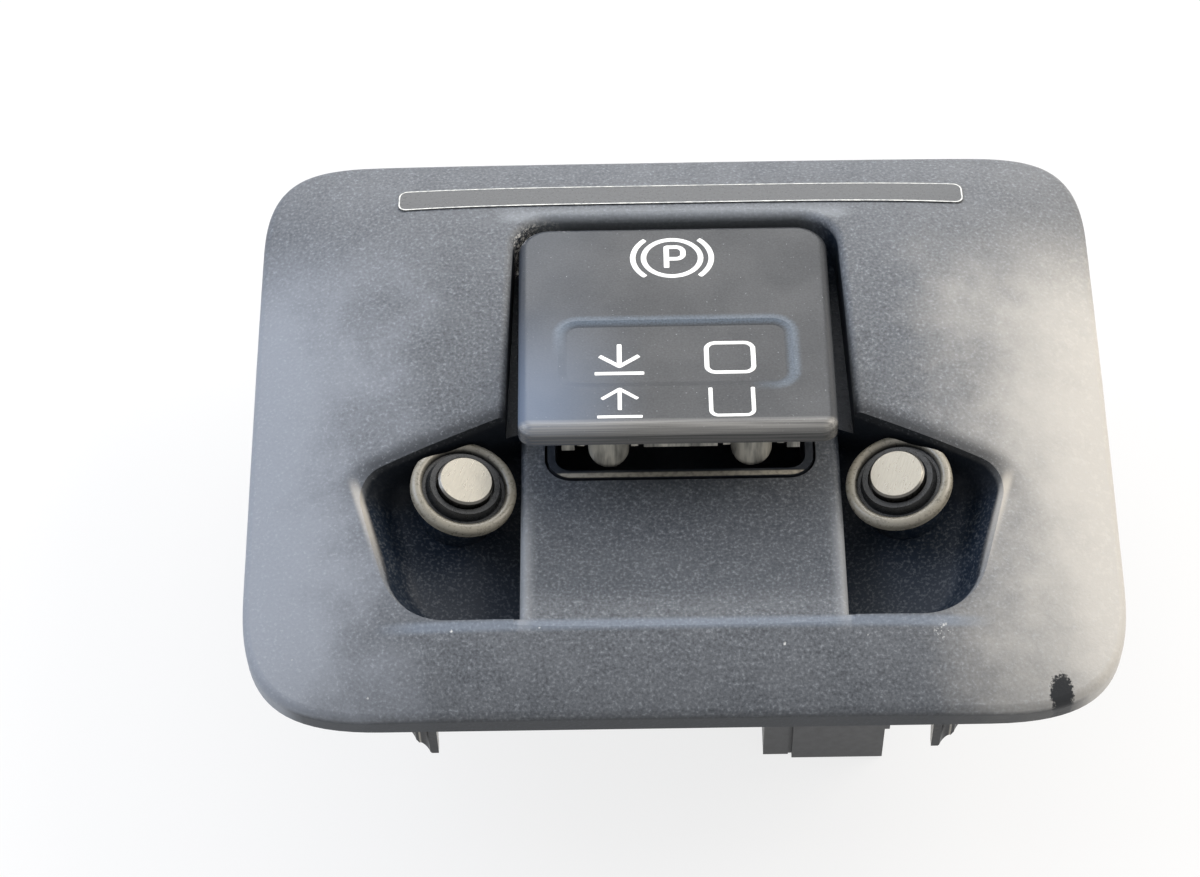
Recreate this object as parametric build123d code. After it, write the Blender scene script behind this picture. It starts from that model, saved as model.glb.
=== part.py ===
from build123d import *

import os
from math import cos, radians, sin

# Parking brake switch for a dashboard, in millimetres. A moulded bezel carries a paddle that is pushed in
# to lock and pulled out to release. The paddle turns on a steel pin in a housing behind the bezel. Two
# sprung plungers, one on either side of that pin, centre the paddle and reach two small switches on a
# circuit board. Two expanding rivets in the finger recess fasten the bezel.
# Lengths are worked in the bezel's own axes: X to the right, Y to the bezel's top edge, Z out of its face,
# with Z 0 in the plane of its outline. On export the part is lifted by HOUSING_BACK, so it lies on Z 0.

# Bezel outline and wall
BEZEL_WIDTH = 124.0
BEZEL_HEIGHT = 97.0
WALL = 2.3
SKIRT = 2.5  # from the outline plane back to the bezel's rear edge
CORNER_TOP = 16.5
CORNER_BOTTOM = 20.0
CORNER_FULLNESS = 0.74  # length of a corner's Bezier handles, as a share of the corner
EDGE_ROUND = 1.6
RIM_ROUND = 1.1

# Crown of the bezel's face: height over the outline plane, from the bottom edge to the top one
CROWN = [(-50.0, 0.2), (-44.0, 3.4), (-35.4, 5.6), (-15.0, 7.8)]
CROWN += [(5.0, 8.6), (20.0, 7.9), (32.3, 5.9), (50.0, -1.3)]
CROWN_EDGE = -1.0  # height that the face falls to at its left and right edges
CROWN_REACH = 66.0  # half width at which the fall is complete
CROWN_STATIONS = [0.0, 28.0, 44.0, 56.0, 64.0]
CROWN_FOOT = -14.0

# Well round the paddle, and the ramp below it for the fingertips
WELL_TOP = 33.4
WELL_HALF = 24.0
WELL_HALF_LOW = 25.0
WELL_CORNER = 6.0
RAMP_HALF = 22.8
RAMP_OVER = 0.8  # how far the ramp's cutter reaches over the pockets
RAMP_BOTTOM = -36.2
RAMP_BOTTOM_Z = 5.35
RAMP_SLOPE = 0.07
WELL_KNEE = -6.0  # where the ramp turns into the steeper floor of the well
WELL_DEEP_Z = -3.2

# Pockets left and right of the ramp, where the rivets sit
LEAN = 12.0  # degrees that a pocket's floor and its rivet lean inwards
POCKET_TOP_Z = 9.0
POCKET_FLOOR_Z = -2.0
POCKET_RIM = [(22.8, -2.6), (49.2, -13.0), (42.2, -35.8), (22.8, -35.8)]
POCKET_FLOOR = [(22.8, -3.6), (42.0, -11.6), (37.0, -34.2), (22.8, -34.2)]
POCKET_RIM_CORNERS = [6.0, 11.0]
POCKET_FLOOR_CORNERS = [4.0, 8.0]
POCKET_COVE = 3.0  # radius between a pocket's floor and its outer walls

# Rivets: a split body with a flange, and a pin that is driven into it
RIVET_X = 31.0
RIVET_Y = -13.6
RIVET_SEAT_Z = 4.2
SEAT_RADIUS = 5.6
FLANGE_RADIUS = 7.6
FLANGE_FLAT = 6.1
FLAT_TURN = 65.0  # degrees from the pocket's side that the flat of the flange faces
FLANGE_THICK = 1.5
FLANGE_TROUGH = 0.7
RIM_WIDE = 1.7
HUB_RADIUS = 5.2
HUB_TOP = 2.0
HEAD_RADIUS = 3.95
HEAD_TOP = 3.1
HEAD_GAP = 0.3
SHANK_RADIUS = 4.0
NECK_RADIUS = 3.5  # upper part of the shank, through the bezel's seat and the pocket's floor
NECK_LENGTH = 8.8
SHANK_LENGTH = 16.6
SHANK_STRAIGHT = 13.6
SHANK_BORE = 2.2
PIN_RADIUS = 2.1

# Paddle, in a plane that leans back from its bottom edge
CAP_HALF_TOP = 22.9
CAP_HALF_LOW = 22.4
CAP_SHIFT = -0.4  # sideways place of the cap's middle
CAP_CORNER_TOP = 4.8
CAP_CORNER_LOW = 2.3
CAP_EDGE = 1.4
PADDLE_LENGTH = 45.0
PADDLE_DEPTH = 3.0
PADDLE_LEAN = 14.65
PADDLE_TOP_Y = 32.2
PADDLE_TOP_Z = 5.0
CAP_WALL = 1.5
PAD_HALF = 16.8  # shallow finger pad pressed into the paddle's face
PAD_FROM, PAD_TO = -36.2, -21.7
PAD_DEEP = 0.3
PAD_SLOPE = 1.2
PAD_CORNER = 3.0
LEVER_HALF = 17.0
LEVER_PLATE = 1.5
HUB_HALF = 17.4
HUB_OUTER = 3.0
PRONG_X = 10.2
PRONG_RADIUS = 2.95
PRONG_FRONT = -9.2
PRONG_TIP = 0.9
SKIRT_FRONT, SKIRT_BACK = -10.2, -9.0
SKIRT_TOP = 14.2
SKIRT_ROOT = 11.2
SKIRT_TEETH = [(0.0, 5.2, 9.8), (6.0, 7.0, 10.1), (13.6, 14.6, 10.3), (15.0, 16.8, 9.2)]

# Hinge of the paddle
PIVOT_Y = 20.0
PIVOT_Z = 1.0
PIVOT_RADIUS = 1.5
PIVOT_PLAY = 0.05

# Housing behind the bezel, and its collar that rises round the lever
HOUSING_BACK = 36.0
HOUSING_HALF = 26.5
HOUSING_BOTTOM = -18.0
HOUSING_TOP = 33.0
HOUSING_FRONT = -7.0
HOUSING_WALL = 1.6
COVER_THICK = 2.0
COLLAR_HALF = 19.0
COLLAR_BOTTOM = -11.4
COLLAR_TOP = 30.6
COLLAR_WALL = 1.1
COLLAR_CORNER = 3.5
COLLAR_LIP = 0.4
COLLAR_GAP = 0.4
EAR_RADIUS = 2.9
SHELF_Z = -17.0
SHELF_THICK = 1.5
BOARD_TOP = -23.5
BOARD_THICK = 1.6
STANDOFFS = [(-21.0, -4.0), (21.0, -4.0), (-21.0, 26.0), (21.0, 26.0)]
STANDOFF_RADIUS = 1.8
CLIPS = [-10.0, 10.0]
CLIP_Z = -31.0

# Plungers under the lever: sideways place, place along the paddle, and gap over the switch
PLUNGERS = {"lock": (-9.0, 10.0, 1.4), "release": (9.0, 26.4, 1.6)}
PLUNGER_TOP = -8.0
PLUNGER_LENGTH = 5.6
PLUNGER_RADIUS = 3.0
PLUNGER_WALL = 0.6
PLUNGER_PLAY = 0.1
STEM_RADIUS = 1.2
STEM_TIP = -19.2
GUIDE_RADIUS = 4.1
GUIDE_TOP = -9.0
PAD_RADIUS = 1.8
PAD_GAP = 0.06
SPRING_RADIUS = 1.95
SPRING_WIRE = 0.25
SPRING_TURNS = 6

# Connector on the housing's lower right
SHROUD_LEFT, SHROUD_RIGHT = 11.9, 29.5
SHROUD_STEP = 16.1
SHROUD_BOTTOM, SHROUD_TOP = -36.0, -22.6
SHROUD_FRONT = -20.0
SHROUD_FLOOR = -24.0
SHROUD_WALL = 1.2
NECK = (16.6, 24.8)
TERMINAL_X = 20.7
TERMINAL_PITCH = 2.5
TERMINAL_WIRE = 0.64
TERMINAL_TIP = -30.5
TERMINAL_ROWS = [(-31.2, -21.4, -11.5), (-27.2, -22.6, -14.0)]

# Screws that hold the housing to bosses behind the bezel
SCREW_PLACES = [(-31.0, 26.0), (31.0, 26.0), (-17.0, -24.0), (5.0, -24.0)]
LUG_FRONT = -12.0
LUG_THICK = 2.0
BOSS_RADIUS = 3.6
SCREW_RADIUS = 1.5
SCREW_HEAD = 2.9
SCREW_LENGTH = 9.0

# Fins on the bezel's lower edge, which hook behind the panel that the switch is fitted to
FIN_TIP_Z = -19.4
FIN_INNER, FIN_OUTER = 35.2, 40.6
FIN_FRONT, FIN_BACK = -43.0, -37.0

# Notice label on the bezel's top border
LABEL = (-41.6, 43.6, 36.4, 41.0)
LABEL_THICK = 0.2

LEAN_COS, LEAN_SIN = cos(radians(LEAN)), sin(radians(LEAN))
PADDLE_COS, PADDLE_SIN = cos(radians(PADDLE_LEAN)), sin(radians(PADDLE_LEAN))


def box(x0, x1, y0, y1, z0, z1):
    """Box between two corners."""
    low = (Align.MIN, Align.MIN, Align.MIN)
    return Pos(x0, y0, z0) * Box(x1 - x0, y1 - y0, z1 - z0, align=low)


def rod(x, y, z0, z1, radius):
    """Upright cylinder from z0 to z1."""
    return Pos(x, y, z0) * Cylinder(radius, z1 - z0, align=(Align.CENTER, Align.CENTER, Align.MIN))


def bar(y, z, half, radius):
    """Cylinder along X, centred on X 0."""
    return Pos(0, y, z) * Rot(0, 90, 0) * Cylinder(radius, 2 * half)


def side_profile(points, x0, x1):
    """Prism along X of an outline in Y and Z."""
    face = make_face(Polyline(*[(x0, y, z) for y, z in points], close=True))
    return extrude(face, x1 - x0, dir=(1, 0, 0))


def both(shape):
    """The shape and its mirror image across the middle."""
    return [shape, mirror(shape, about=Plane.YZ)]


def ramp_z(y):
    """Height of the ramp's plane."""
    return RAMP_BOTTOM_Z - RAMP_SLOPE * (y - RAMP_BOTTOM)


def floor_z(y):
    """Height of the floor: the ramp, then the steeper floor of the well."""
    if y <= WELL_KNEE:
        return ramp_z(y)
    share = (y - WELL_KNEE) / (WELL_TOP - WELL_KNEE)
    return ramp_z(WELL_KNEE) + share * (WELL_DEEP_Z - ramp_z(WELL_KNEE))


def outline(inset=0.0):
    """The bezel's outline, with curvature-continuous corners, moved inwards by some amount."""
    half_x, half_y = BEZEL_WIDTH / 2 - inset, BEZEL_HEIGHT / 2 - inset
    bottom, top = CORNER_BOTTOM - inset, CORNER_TOP - inset
    ends, edges = [], []
    for sx, sy, size in [(1, -1, bottom), (1, 1, top), (-1, 1, top), (-1, -1, bottom)]:
        corner = Vector(sx * half_x, sy * half_y)
        along_x, along_y = Vector(-sx * size, 0), Vector(0, -sy * size)
        points = [corner + along_x, corner + along_x * (1 - CORNER_FULLNESS)]
        points += [corner + along_y * (1 - CORNER_FULLNESS), corner + along_y]
        if sx * sy > 0:
            points.reverse()
        ends.append((points[0], points[-1]))
        edges.append(Bezier(*points))
    for (_, here), (there, _) in zip(ends, ends[1:] + ends[:1]):
        edges.append(Line(here, there))
    return make_face(Curve() + edges)


def crown_block(drop=0.0):
    """Block under the crowned face: side profiles lofted across the width."""
    sections = []
    for x in [-s for s in reversed(CROWN_STATIONS[1:])] + CROWN_STATIONS:
        share = 1 - (abs(x) / CROWN_REACH) ** 4
        top = [(x, y, CROWN_EDGE + (z - CROWN_EDGE) * share - drop) for y, z in CROWN]
        foot = CROWN_FOOT
        sides = Polyline(top[-1], (x, CROWN[-1][0], foot), (x, CROWN[0][0], foot), top[0])
        sections.append(make_face(Spline(*top) + sides))
    return loft(sections)


def well_tool(grow=0.0):
    """Cutter for the well and the ramp: a floor with one knee, walls straight up."""
    ramp = RAMP_HALF + RAMP_OVER
    half = [(WELL_HALF, WELL_TOP), (WELL_HALF_LOW, -4.0), (ramp, -9.0), (ramp, RAMP_BOTTOM - 4)]
    points = half + [(-x, y) for x, y in reversed(half)]
    plan = make_face(Polyline(*points, close=True))
    plan = fillet([v for v in plan.vertices() if v.Y > WELL_TOP - 1], WELL_CORNER)
    if grow:
        plan = offset(plan, amount=grow, kind=Kind.INTERSECTION)
    low, high, sky = RAMP_BOTTOM - 9, WELL_TOP + 9, 40
    past = floor_z(high)
    floor = [(low, ramp_z(low) - grow), (WELL_KNEE, ramp_z(WELL_KNEE) - grow), (high, past - grow)]
    return extrude(Pos(0, 0, -20) * plan, 60) & side_profile(floor + [(high, sky), (low, sky)], -40, 40)


def paddle_z(y, depth):
    """Height at y of a plane that lies some depth under the paddle's face."""
    return PADDLE_TOP_Z + (PADDLE_TOP_Y - y) * PADDLE_SIN / PADDLE_COS - depth / PADDLE_COS


def pocket_plane():
    """Plane of the right pocket's floor, leaning towards the middle."""
    origin = (RIVET_X, 0, POCKET_FLOOR_Z)
    return Plane(origin=origin, x_dir=(LEAN_COS, 0, LEAN_SIN), z_dir=(-LEAN_SIN, 0, LEAN_COS))


def rounded(points, radii):
    """Face of a polygon with its two outer corners rounded."""
    face = make_face(Polyline(*points, close=True))
    corners = sorted(face.vertices(), key=lambda v: -v.X)[:2]
    for corner, radius in zip(sorted(corners, key=lambda v: -v.Y), radii):
        near = min(face.vertices(), key=lambda v: (v.center() - corner.center()).length)
        face = fillet([near], radius)
    return face


def pocket_tool(grow=0.0):
    """Cutter for the right pocket, from its leaning floor out through the face."""
    rim = rounded(POCKET_RIM, POCKET_RIM_CORNERS)
    floor = rounded([((x - RIVET_X) / LEAN_COS, y) for x, y in POCKET_FLOOR], POCKET_FLOOR_CORNERS)
    if grow:
        rim = offset(rim, amount=grow)
        floor = offset(floor, amount=grow)
    pan = loft([pocket_plane().offset(-grow) * floor, Pos(0, 0, POCKET_TOP_Z) * rim], ruled=True)
    if grow:
        return pan
    low = pan.faces().sort_by(Axis.Z)[0]
    inner = min(v.X for v in low.vertices())
    return fillet([e for e in low.edges() if e.center().X > inner + 0.5], POCKET_COVE)


def rivet_plane():
    """Seat of the right rivet: origin under its flange, Z out along its axis."""
    origin = (RIVET_X, RIVET_Y, RIVET_SEAT_Z)
    return Plane(origin=origin, x_dir=(LEAN_COS, 0, LEAN_SIN), z_dir=(-LEAN_SIN, 0, LEAN_COS))


def paddle_plane():
    """Face of the paddle: origin on its top edge, Y towards the top, Z outwards."""
    return Plane(origin=(0, PADDLE_TOP_Y, PADDLE_TOP_Z), x_dir=(1, 0, 0), z_dir=(0, PADDLE_SIN, PADDLE_COS))


def on_paddle(y, z):
    """Global Y and Z of a point in the paddle's own axes."""
    return (PADDLE_TOP_Y + y * PADDLE_COS + z * PADDLE_SIN, PADDLE_TOP_Z - y * PADDLE_SIN + z * PADDLE_COS)


def leaning(plane, shape):
    """A shape of the plane's own axes, and its mirror image on the other side."""
    return both(plane.location * shape)


def well_rim(body):
    """Edges where the well breaks through the crowned face, beside and above the paddle."""
    return [e for e in body.edges() if e.center().Z > 4.9 and -3.4 < e.center().Y < WELL_TOP + 1
            and abs(e.center().X) < WELL_HALF_LOW + 1 and abs(e.tangent_at(0.5).Z) < 0.6]


def ramp_sides(body):
    """Edges between the ramp and the pockets."""
    return [e for e in body.edges() if abs(abs(e.center().X) - RAMP_HALF) < 0.1 and e.length > 10
            and ramp_z(0) < e.center().Z < RAMP_BOTTOM_Z and abs(e.tangent_at(0.5).Y) > 0.9]


def bezel():
    """Moulded panel: thin crowned shell with the well, the pockets, ribs, screw bosses and fins."""
    solid = crown_block() & extrude(Pos(0, 0, -SKIRT) * outline(), 20)
    border = [e for e in solid.edges() if e.center().Z > -SKIRT + 0.5
              and min(abs(abs(e.center().X) - 62), abs(abs(e.center().Y) - 48.5)) < 6]
    solid = fillet(border, EDGE_ROUND)
    cavity = crown_block(WALL) & extrude(Pos(0, 0, -SKIRT - 2) * outline(WALL), 30)
    body = solid - cavity
    under = crown_block()
    for pan in [well_tool(WALL)] + both(pocket_tool(WALL)):
        body += pan & under
    for seat in leaning(rivet_plane(), Pos(0, 0, -3.5) * Cylinder(SEAT_RADIUS + 1.2, 7)):
        body += seat & under
    body += [cavity & rib for rib in ribs()]
    for x, y in SCREW_PLACES:
        body += rod(x, y, LUG_FRONT, 4.0, BOSS_RADIUS)
    for cutter in [well_tool()] + both(pocket_tool()):
        body -= cutter
    body = fillet(well_rim(body), RIM_ROUND)
    body = fillet(ramp_sides(body), RIM_ROUND)
    seat = Cylinder(SEAT_RADIUS, 6, align=(Align.CENTER, Align.CENTER, Align.MAX))
    shank = Cylinder(SHANK_RADIUS + 0.1, 40)
    for place in leaning(rivet_plane(), seat):
        body += place
    for place in leaning(rivet_plane(), shank):
        body -= place
    body -= collar_ring(-COLLAR_GAP - 0.01, 0, 40)
    for x, y in SCREW_PLACES:
        body -= rod(x, y, LUG_FRONT - 1, LUG_FRONT + SCREW_LENGTH - LUG_THICK, SCREW_RADIUS)
    return body + fins()


def ribs():
    """Stiffening ribs behind the borders, before they are cut to the shell's hollow."""
    found = []
    for side in (-1, 1):
        for x in (30.0, 45.0, 54.0):
            found.append(box(side * x - 0.6, side * x + 0.6, 30 if x < 50 else -30, 48, -SKIRT + 1, 10))
    for y in (-42.0, 41.0):
        found.append(box(-50, 50, y - 0.6, y + 0.6, -SKIRT + 1, 10))
    return found


def fins():
    """Two hooks on the lower edge: quarter-round outside, fluted in front, bevelled at the back."""
    tall = -FIN_TIP_Z
    width = FIN_OUTER - FIN_INNER
    top = 1.0
    profile = Polyline((FIN_OUTER, top), (FIN_INNER, top), (FIN_INNER, -tall), (FIN_INNER + 1.0, -tall))
    curve = ThreePointArc((FIN_INNER + 1.0, -tall), (FIN_OUTER - 1.35, -tall * 0.62), (FIN_OUTER, -tall * 0.2))
    close = Line((FIN_OUTER, -tall * 0.2), (FIN_OUTER, top))
    face = make_face(profile + curve + close)
    fin = extrude(Plane.XZ.offset(-FIN_FRONT) * face, FIN_FRONT - FIN_BACK)
    edge = FIN_FRONT + 1.2
    fin -= side_profile([(FIN_BACK, -8), (FIN_BACK, -30), (edge, -30), (edge, -tall)], 30, 45)
    for share in (0.35, 0.68):
        fin -= rod(FIN_INNER + width * share, FIN_FRONT - 0.3, -40, -2.0, 0.75)
    return both(fin)


def ring_plan(inset):
    """Outline of the collar, inset by some amount."""
    half = COLLAR_HALF - inset
    tall = COLLAR_TOP - COLLAR_BOTTOM - 2 * inset
    middle = (COLLAR_TOP + COLLAR_BOTTOM) / 2
    return Pos(0, middle) * RectangleRounded(2 * half, tall, COLLAR_CORNER - inset)


def collar_ring(inset, low, high):
    """Prism inside the collar's outline, inset by some amount."""
    return extrude(Pos(0, 0, low - 20) * ring_plan(inset), high - low + 20)


def housing():
    """Rear case: five walls, a shelf with the plungers' guides, and the collar with the hinge's ears."""
    case = box(-HOUSING_HALF, HOUSING_HALF, HOUSING_BOTTOM, HOUSING_TOP, COVER_THICK - HOUSING_BACK, HOUSING_FRONT)
    case = fillet(case.edges().filter_by(Axis.Z), 2.5)
    wall = HOUSING_WALL
    inner = box(-HOUSING_HALF + wall, HOUSING_HALF - wall, HOUSING_BOTTOM + wall, HOUSING_TOP - wall,
                COVER_THICK - HOUSING_BACK - 1, HOUSING_FRONT - wall)
    inner = fillet(inner.edges().filter_by(Axis.Z), 1.0)
    body = case - inner
    rim = [(COLLAR_BOTTOM - 1, floor_z(COLLAR_BOTTOM) + COLLAR_LIP), (WELL_KNEE, floor_z(WELL_KNEE) + COLLAR_LIP)]
    rim += [(COLLAR_TOP + 1, floor_z(COLLAR_TOP) + COLLAR_LIP), (COLLAR_TOP + 1, -9), (COLLAR_BOTTOM - 1, -9)]
    ring = extrude(Pos(0, 0, HOUSING_FRONT - HOUSING_WALL) * ring_plan(0), 20) & side_profile(rim, -30, 30)
    ear = bar(PIVOT_Y, PIVOT_Z, COLLAR_HALF, EAR_RADIUS)
    ear += box(-COLLAR_HALF, COLLAR_HALF, PIVOT_Y - EAR_RADIUS, PIVOT_Y + EAR_RADIUS, HOUSING_FRONT - 1, PIVOT_Z)
    body += ring + ear
    body -= extrude(Pos(0, 0, HOUSING_FRONT - HOUSING_WALL - 0.01) * ring_plan(COLLAR_WALL), 30)
    body += box(-HOUSING_HALF + 1, HOUSING_HALF - 1, HOUSING_BOTTOM + 1, HOUSING_TOP - 1,
                SHELF_Z - SHELF_THICK, SHELF_Z)
    for x, y, _ in PLUNGERS.values():
        body += rod(x, y, SHELF_Z, GUIDE_TOP, GUIDE_RADIUS)
        body -= rod(x, y, SHELF_Z, GUIDE_TOP + 1, PLUNGER_RADIUS + PLUNGER_PLAY)
        body -= rod(x, y, SHELF_Z - 3, SHELF_Z + 1, STEM_RADIUS + 0.3)
    for x, y in STANDOFFS:
        body += rod(x, y, BOARD_TOP, SHELF_Z - 1, STANDOFF_RADIUS)
    for x, y in SCREW_PLACES:
        body += lug(x, y)
    body -= bar(PIVOT_Y, PIVOT_Z, 30, PIVOT_RADIUS)
    left, right = NECK
    body -= box(left, right, HOUSING_BOTTOM - 1, HOUSING_BOTTOM + 3, SHROUD_FLOOR, SHROUD_FRONT)
    for x in CLIPS:
        body -= Pos(x, HOUSING_TOP, CLIP_Z) * Box(5, 4.6, 1.6)
        body -= Pos(x - 8, HOUSING_BOTTOM, CLIP_Z) * Box(5, 4.6, 1.6)
    return body


def lug(x, y):
    """Screw lug that reaches from the housing's wall to a boss."""
    edge_x = max(-HOUSING_HALF + 1, min(HOUSING_HALF - 1, x))
    edge_y = max(HOUSING_BOTTOM + 1, min(HOUSING_TOP - 1, y))
    back, front = LUG_FRONT - LUG_THICK, LUG_FRONT
    tab = rod(x, y, back, front, BOSS_RADIUS + 0.6)
    if abs(x) > HOUSING_HALF:
        low, high = sorted((x, edge_x))
        tab += box(low, high, y - BOSS_RADIUS - 0.6, y + BOSS_RADIUS + 0.6, back, front)
    else:
        tab += box(x - BOSS_RADIUS - 0.6, x + BOSS_RADIUS + 0.6, y, edge_y, back, front)
    return tab - rod(x, y, back - 1, front + 1, SCREW_RADIUS)


def housing_cover():
    """Back cover: a plate with a rim that centres it, clips, and posts under the board."""
    plate = box(-HOUSING_HALF, HOUSING_HALF, HOUSING_BOTTOM, HOUSING_TOP, -HOUSING_BACK, COVER_THICK - HOUSING_BACK)
    plate = fillet(plate.edges().filter_by(Axis.Z), 2.5)
    gap = HOUSING_WALL + 0.1
    low = COVER_THICK - HOUSING_BACK
    half = HOUSING_HALF - gap
    rim = box(-half, half, HOUSING_BOTTOM + gap, HOUSING_TOP - gap, low - 0.5, low + 2.0)
    rim = fillet(rim.edges().filter_by(Axis.Z), 0.9)
    inner = box(-half + 1.2, half - 1.2, HOUSING_BOTTOM + gap + 1.2, HOUSING_TOP - gap - 1.2, low - 1, low + 3)
    body = plate + (rim - inner)
    for x, y in STANDOFFS:
        body += rod(x, y, low - 0.5, BOARD_TOP - BOARD_THICK, STANDOFF_RADIUS)
    return body


def connector_shell():
    """Shroud that is open at the back, with its stepped side, a latch rib and a neck into the housing."""
    body = box(SHROUD_LEFT, SHROUD_RIGHT, SHROUD_BOTTOM, SHROUD_TOP, -HOUSING_BACK, SHROUD_FRONT)
    body -= box(SHROUD_LEFT - 1, SHROUD_STEP - 0.5, SHROUD_BOTTOM - 1, SHROUD_BOTTOM + 0.6, -40, 0)
    body -= box(SHROUD_STEP - 0.5, SHROUD_STEP, SHROUD_BOTTOM - 1, SHROUD_BOTTOM + 0.8, -40, 0)
    wall = SHROUD_WALL
    cavity = box(SHROUD_LEFT + wall, SHROUD_RIGHT - wall, SHROUD_BOTTOM + wall + 0.6, SHROUD_TOP - wall,
                 -HOUSING_BACK - 1, SHROUD_FLOOR)
    body -= fillet(cavity.edges().filter_by(Axis.Z), 0.8)
    body += box(SHROUD_RIGHT - 0.1, SHROUD_RIGHT + 0.8, SHROUD_BOTTOM + 0.6, SHROUD_BOTTOM + 2.6, -28.5, SHROUD_FRONT)
    for x in (SHROUD_LEFT + 3.5, SHROUD_RIGHT - 3.5):
        body += box(x - 0.5, x + 0.5, SHROUD_TOP - wall - 1.0, SHROUD_TOP - wall + 0.1, -34.5, SHROUD_FLOOR + 0.1)
    left, right = NECK
    return body + box(left, right, SHROUD_TOP - 0.1, HOUSING_BOTTOM + HOUSING_WALL, SHROUD_FLOOR, SHROUD_FRONT)


def terminal_pins():
    """Bent square pins in two rows, from the connector to the board."""
    found = []
    half = TERMINAL_WIRE / 2
    for row_y, level, board_y in TERMINAL_ROWS:
        for step in (-1, 0, 1):
            x = TERMINAL_X + step * TERMINAL_PITCH
            blade = box(x - half, x + half, row_y - half, row_y + half, TERMINAL_TIP + 0.6, level + half)
            point = extrude(Rectangle(2 * half, 2 * half), 0.6, taper=20)
            tip = Pos(x, row_y, TERMINAL_TIP + 0.6) * Rot(180, 0, 0) * point
            run = box(x - half, x + half, row_y - half, board_y + half, level - half, level + half)
            tail = box(x - half, x + half, board_y - half, board_y + half, BOARD_TOP - BOARD_THICK - 1, level + half)
            found.append(blade + tip + run + tail)
    return found


def circuit_board():
    """Board with notched corners and its terminal holes."""
    margin = HOUSING_WALL + 1.0
    board = box(-HOUSING_HALF + margin, HOUSING_HALF - margin, HOUSING_BOTTOM + margin, HOUSING_TOP - margin,
                BOARD_TOP - BOARD_THICK, BOARD_TOP)
    board = chamfer(board.edges().filter_by(Axis.Z), 2.0)
    for _, _, board_y in TERMINAL_ROWS:
        for step in (-1, 0, 1):
            board -= rod(TERMINAL_X + step * TERMINAL_PITCH, board_y, -40, -20, 0.5)
    return board


def tact_switch(x, y, gap):
    """Small push switch on the board: square case, round button, four legs."""
    top = STEM_TIP - gap
    case = box(x - 3.1, x + 3.1, y - 3.1, y + 3.1, BOARD_TOP, top - 0.6)
    case = chamfer(case.edges().filter_by(Axis.Z), 0.5)
    body = case + rod(x, y, top - 0.7, top, 1.7)
    for sx in (-1, 1):
        for sy in (-1, 1):
            body += Pos(x + sx * 3.4, y + sy * 2.2, BOARD_TOP + 0.5) * Box(0.7, 0.6, 1.0)
    return body


def plunger(x, y):
    """Cup that slides in its guide, with a stem towards its switch."""
    foot = PLUNGER_TOP - PLUNGER_LENGTH
    cup = rod(x, y, foot, PLUNGER_TOP, PLUNGER_RADIUS)
    cup = chamfer(cup.faces().sort_by(Axis.Z)[-1].edges(), 0.4)
    cup -= rod(x, y, foot - 1, PLUNGER_TOP - 1.2, PLUNGER_RADIUS - PLUNGER_WALL)
    stem = rod(x, y, STEM_TIP, PLUNGER_TOP - 0.5, STEM_RADIUS)
    stem = fillet(stem.faces().sort_by(Axis.Z)[0].edges(), 0.4)
    return cup + stem


def spring(x, y):
    """Coil spring inside a plunger's cup, down to the shelf."""
    low = SHELF_Z + SPRING_WIRE
    high = PLUNGER_TOP - 1.2 - SPRING_WIRE
    helix = Helix(pitch=(high - low) / SPRING_TURNS, height=high - low, radius=SPRING_RADIUS)
    start = Plane(origin=helix @ 0, z_dir=helix % 0)
    coil = sweep(start * Circle(SPRING_WIRE), path=helix, is_frenet=True)
    return Pos(x, y, low) * coil


def cap_plan(inset):
    """Outline of the cap, a little wider at its top, inset by some amount."""
    wide, narrow = CAP_HALF_TOP - inset, CAP_HALF_LOW - inset
    top, low = -inset, inset - PADDLE_LENGTH
    face = make_face(Polyline((-wide, top), (wide, top), (narrow, low), (-narrow, low), close=True))
    face = fillet(face.vertices().sort_by(Axis.Y)[2:], CAP_CORNER_TOP - inset)
    face = fillet(face.vertices().sort_by(Axis.Y)[:2], CAP_CORNER_LOW - inset)
    return Pos(CAP_SHIFT, 0) * face


def paddle_cap():
    """Moulded cap: rounded slab in the paddle's plane, hollow behind, with a shallow finger pad."""
    slab = extrude(Pos(0, 0, -PADDLE_DEPTH) * cap_plan(0), PADDLE_DEPTH)
    slab = fillet(slab.faces().sort_by(Axis.Z)[-1].edges(), CAP_EDGE)
    slab -= extrude(Pos(0, 0, -PADDLE_DEPTH - 1) * cap_plan(CAP_WALL), PADDLE_DEPTH + 1 - CAP_WALL)
    pad = []
    for side in (-1, 1):
        grow = side * PAD_SLOPE
        across, tall = 2 * (PAD_HALF + grow), PAD_TO - PAD_FROM + 2 * grow
        plan = RectangleRounded(across, tall, PAD_CORNER + grow)
        pad.append(Pos(CAP_SHIFT, (PAD_FROM + PAD_TO) / 2, side * PAD_DEEP) * plan)
    return paddle_plane().location * (slab - loft(pad))


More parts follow.
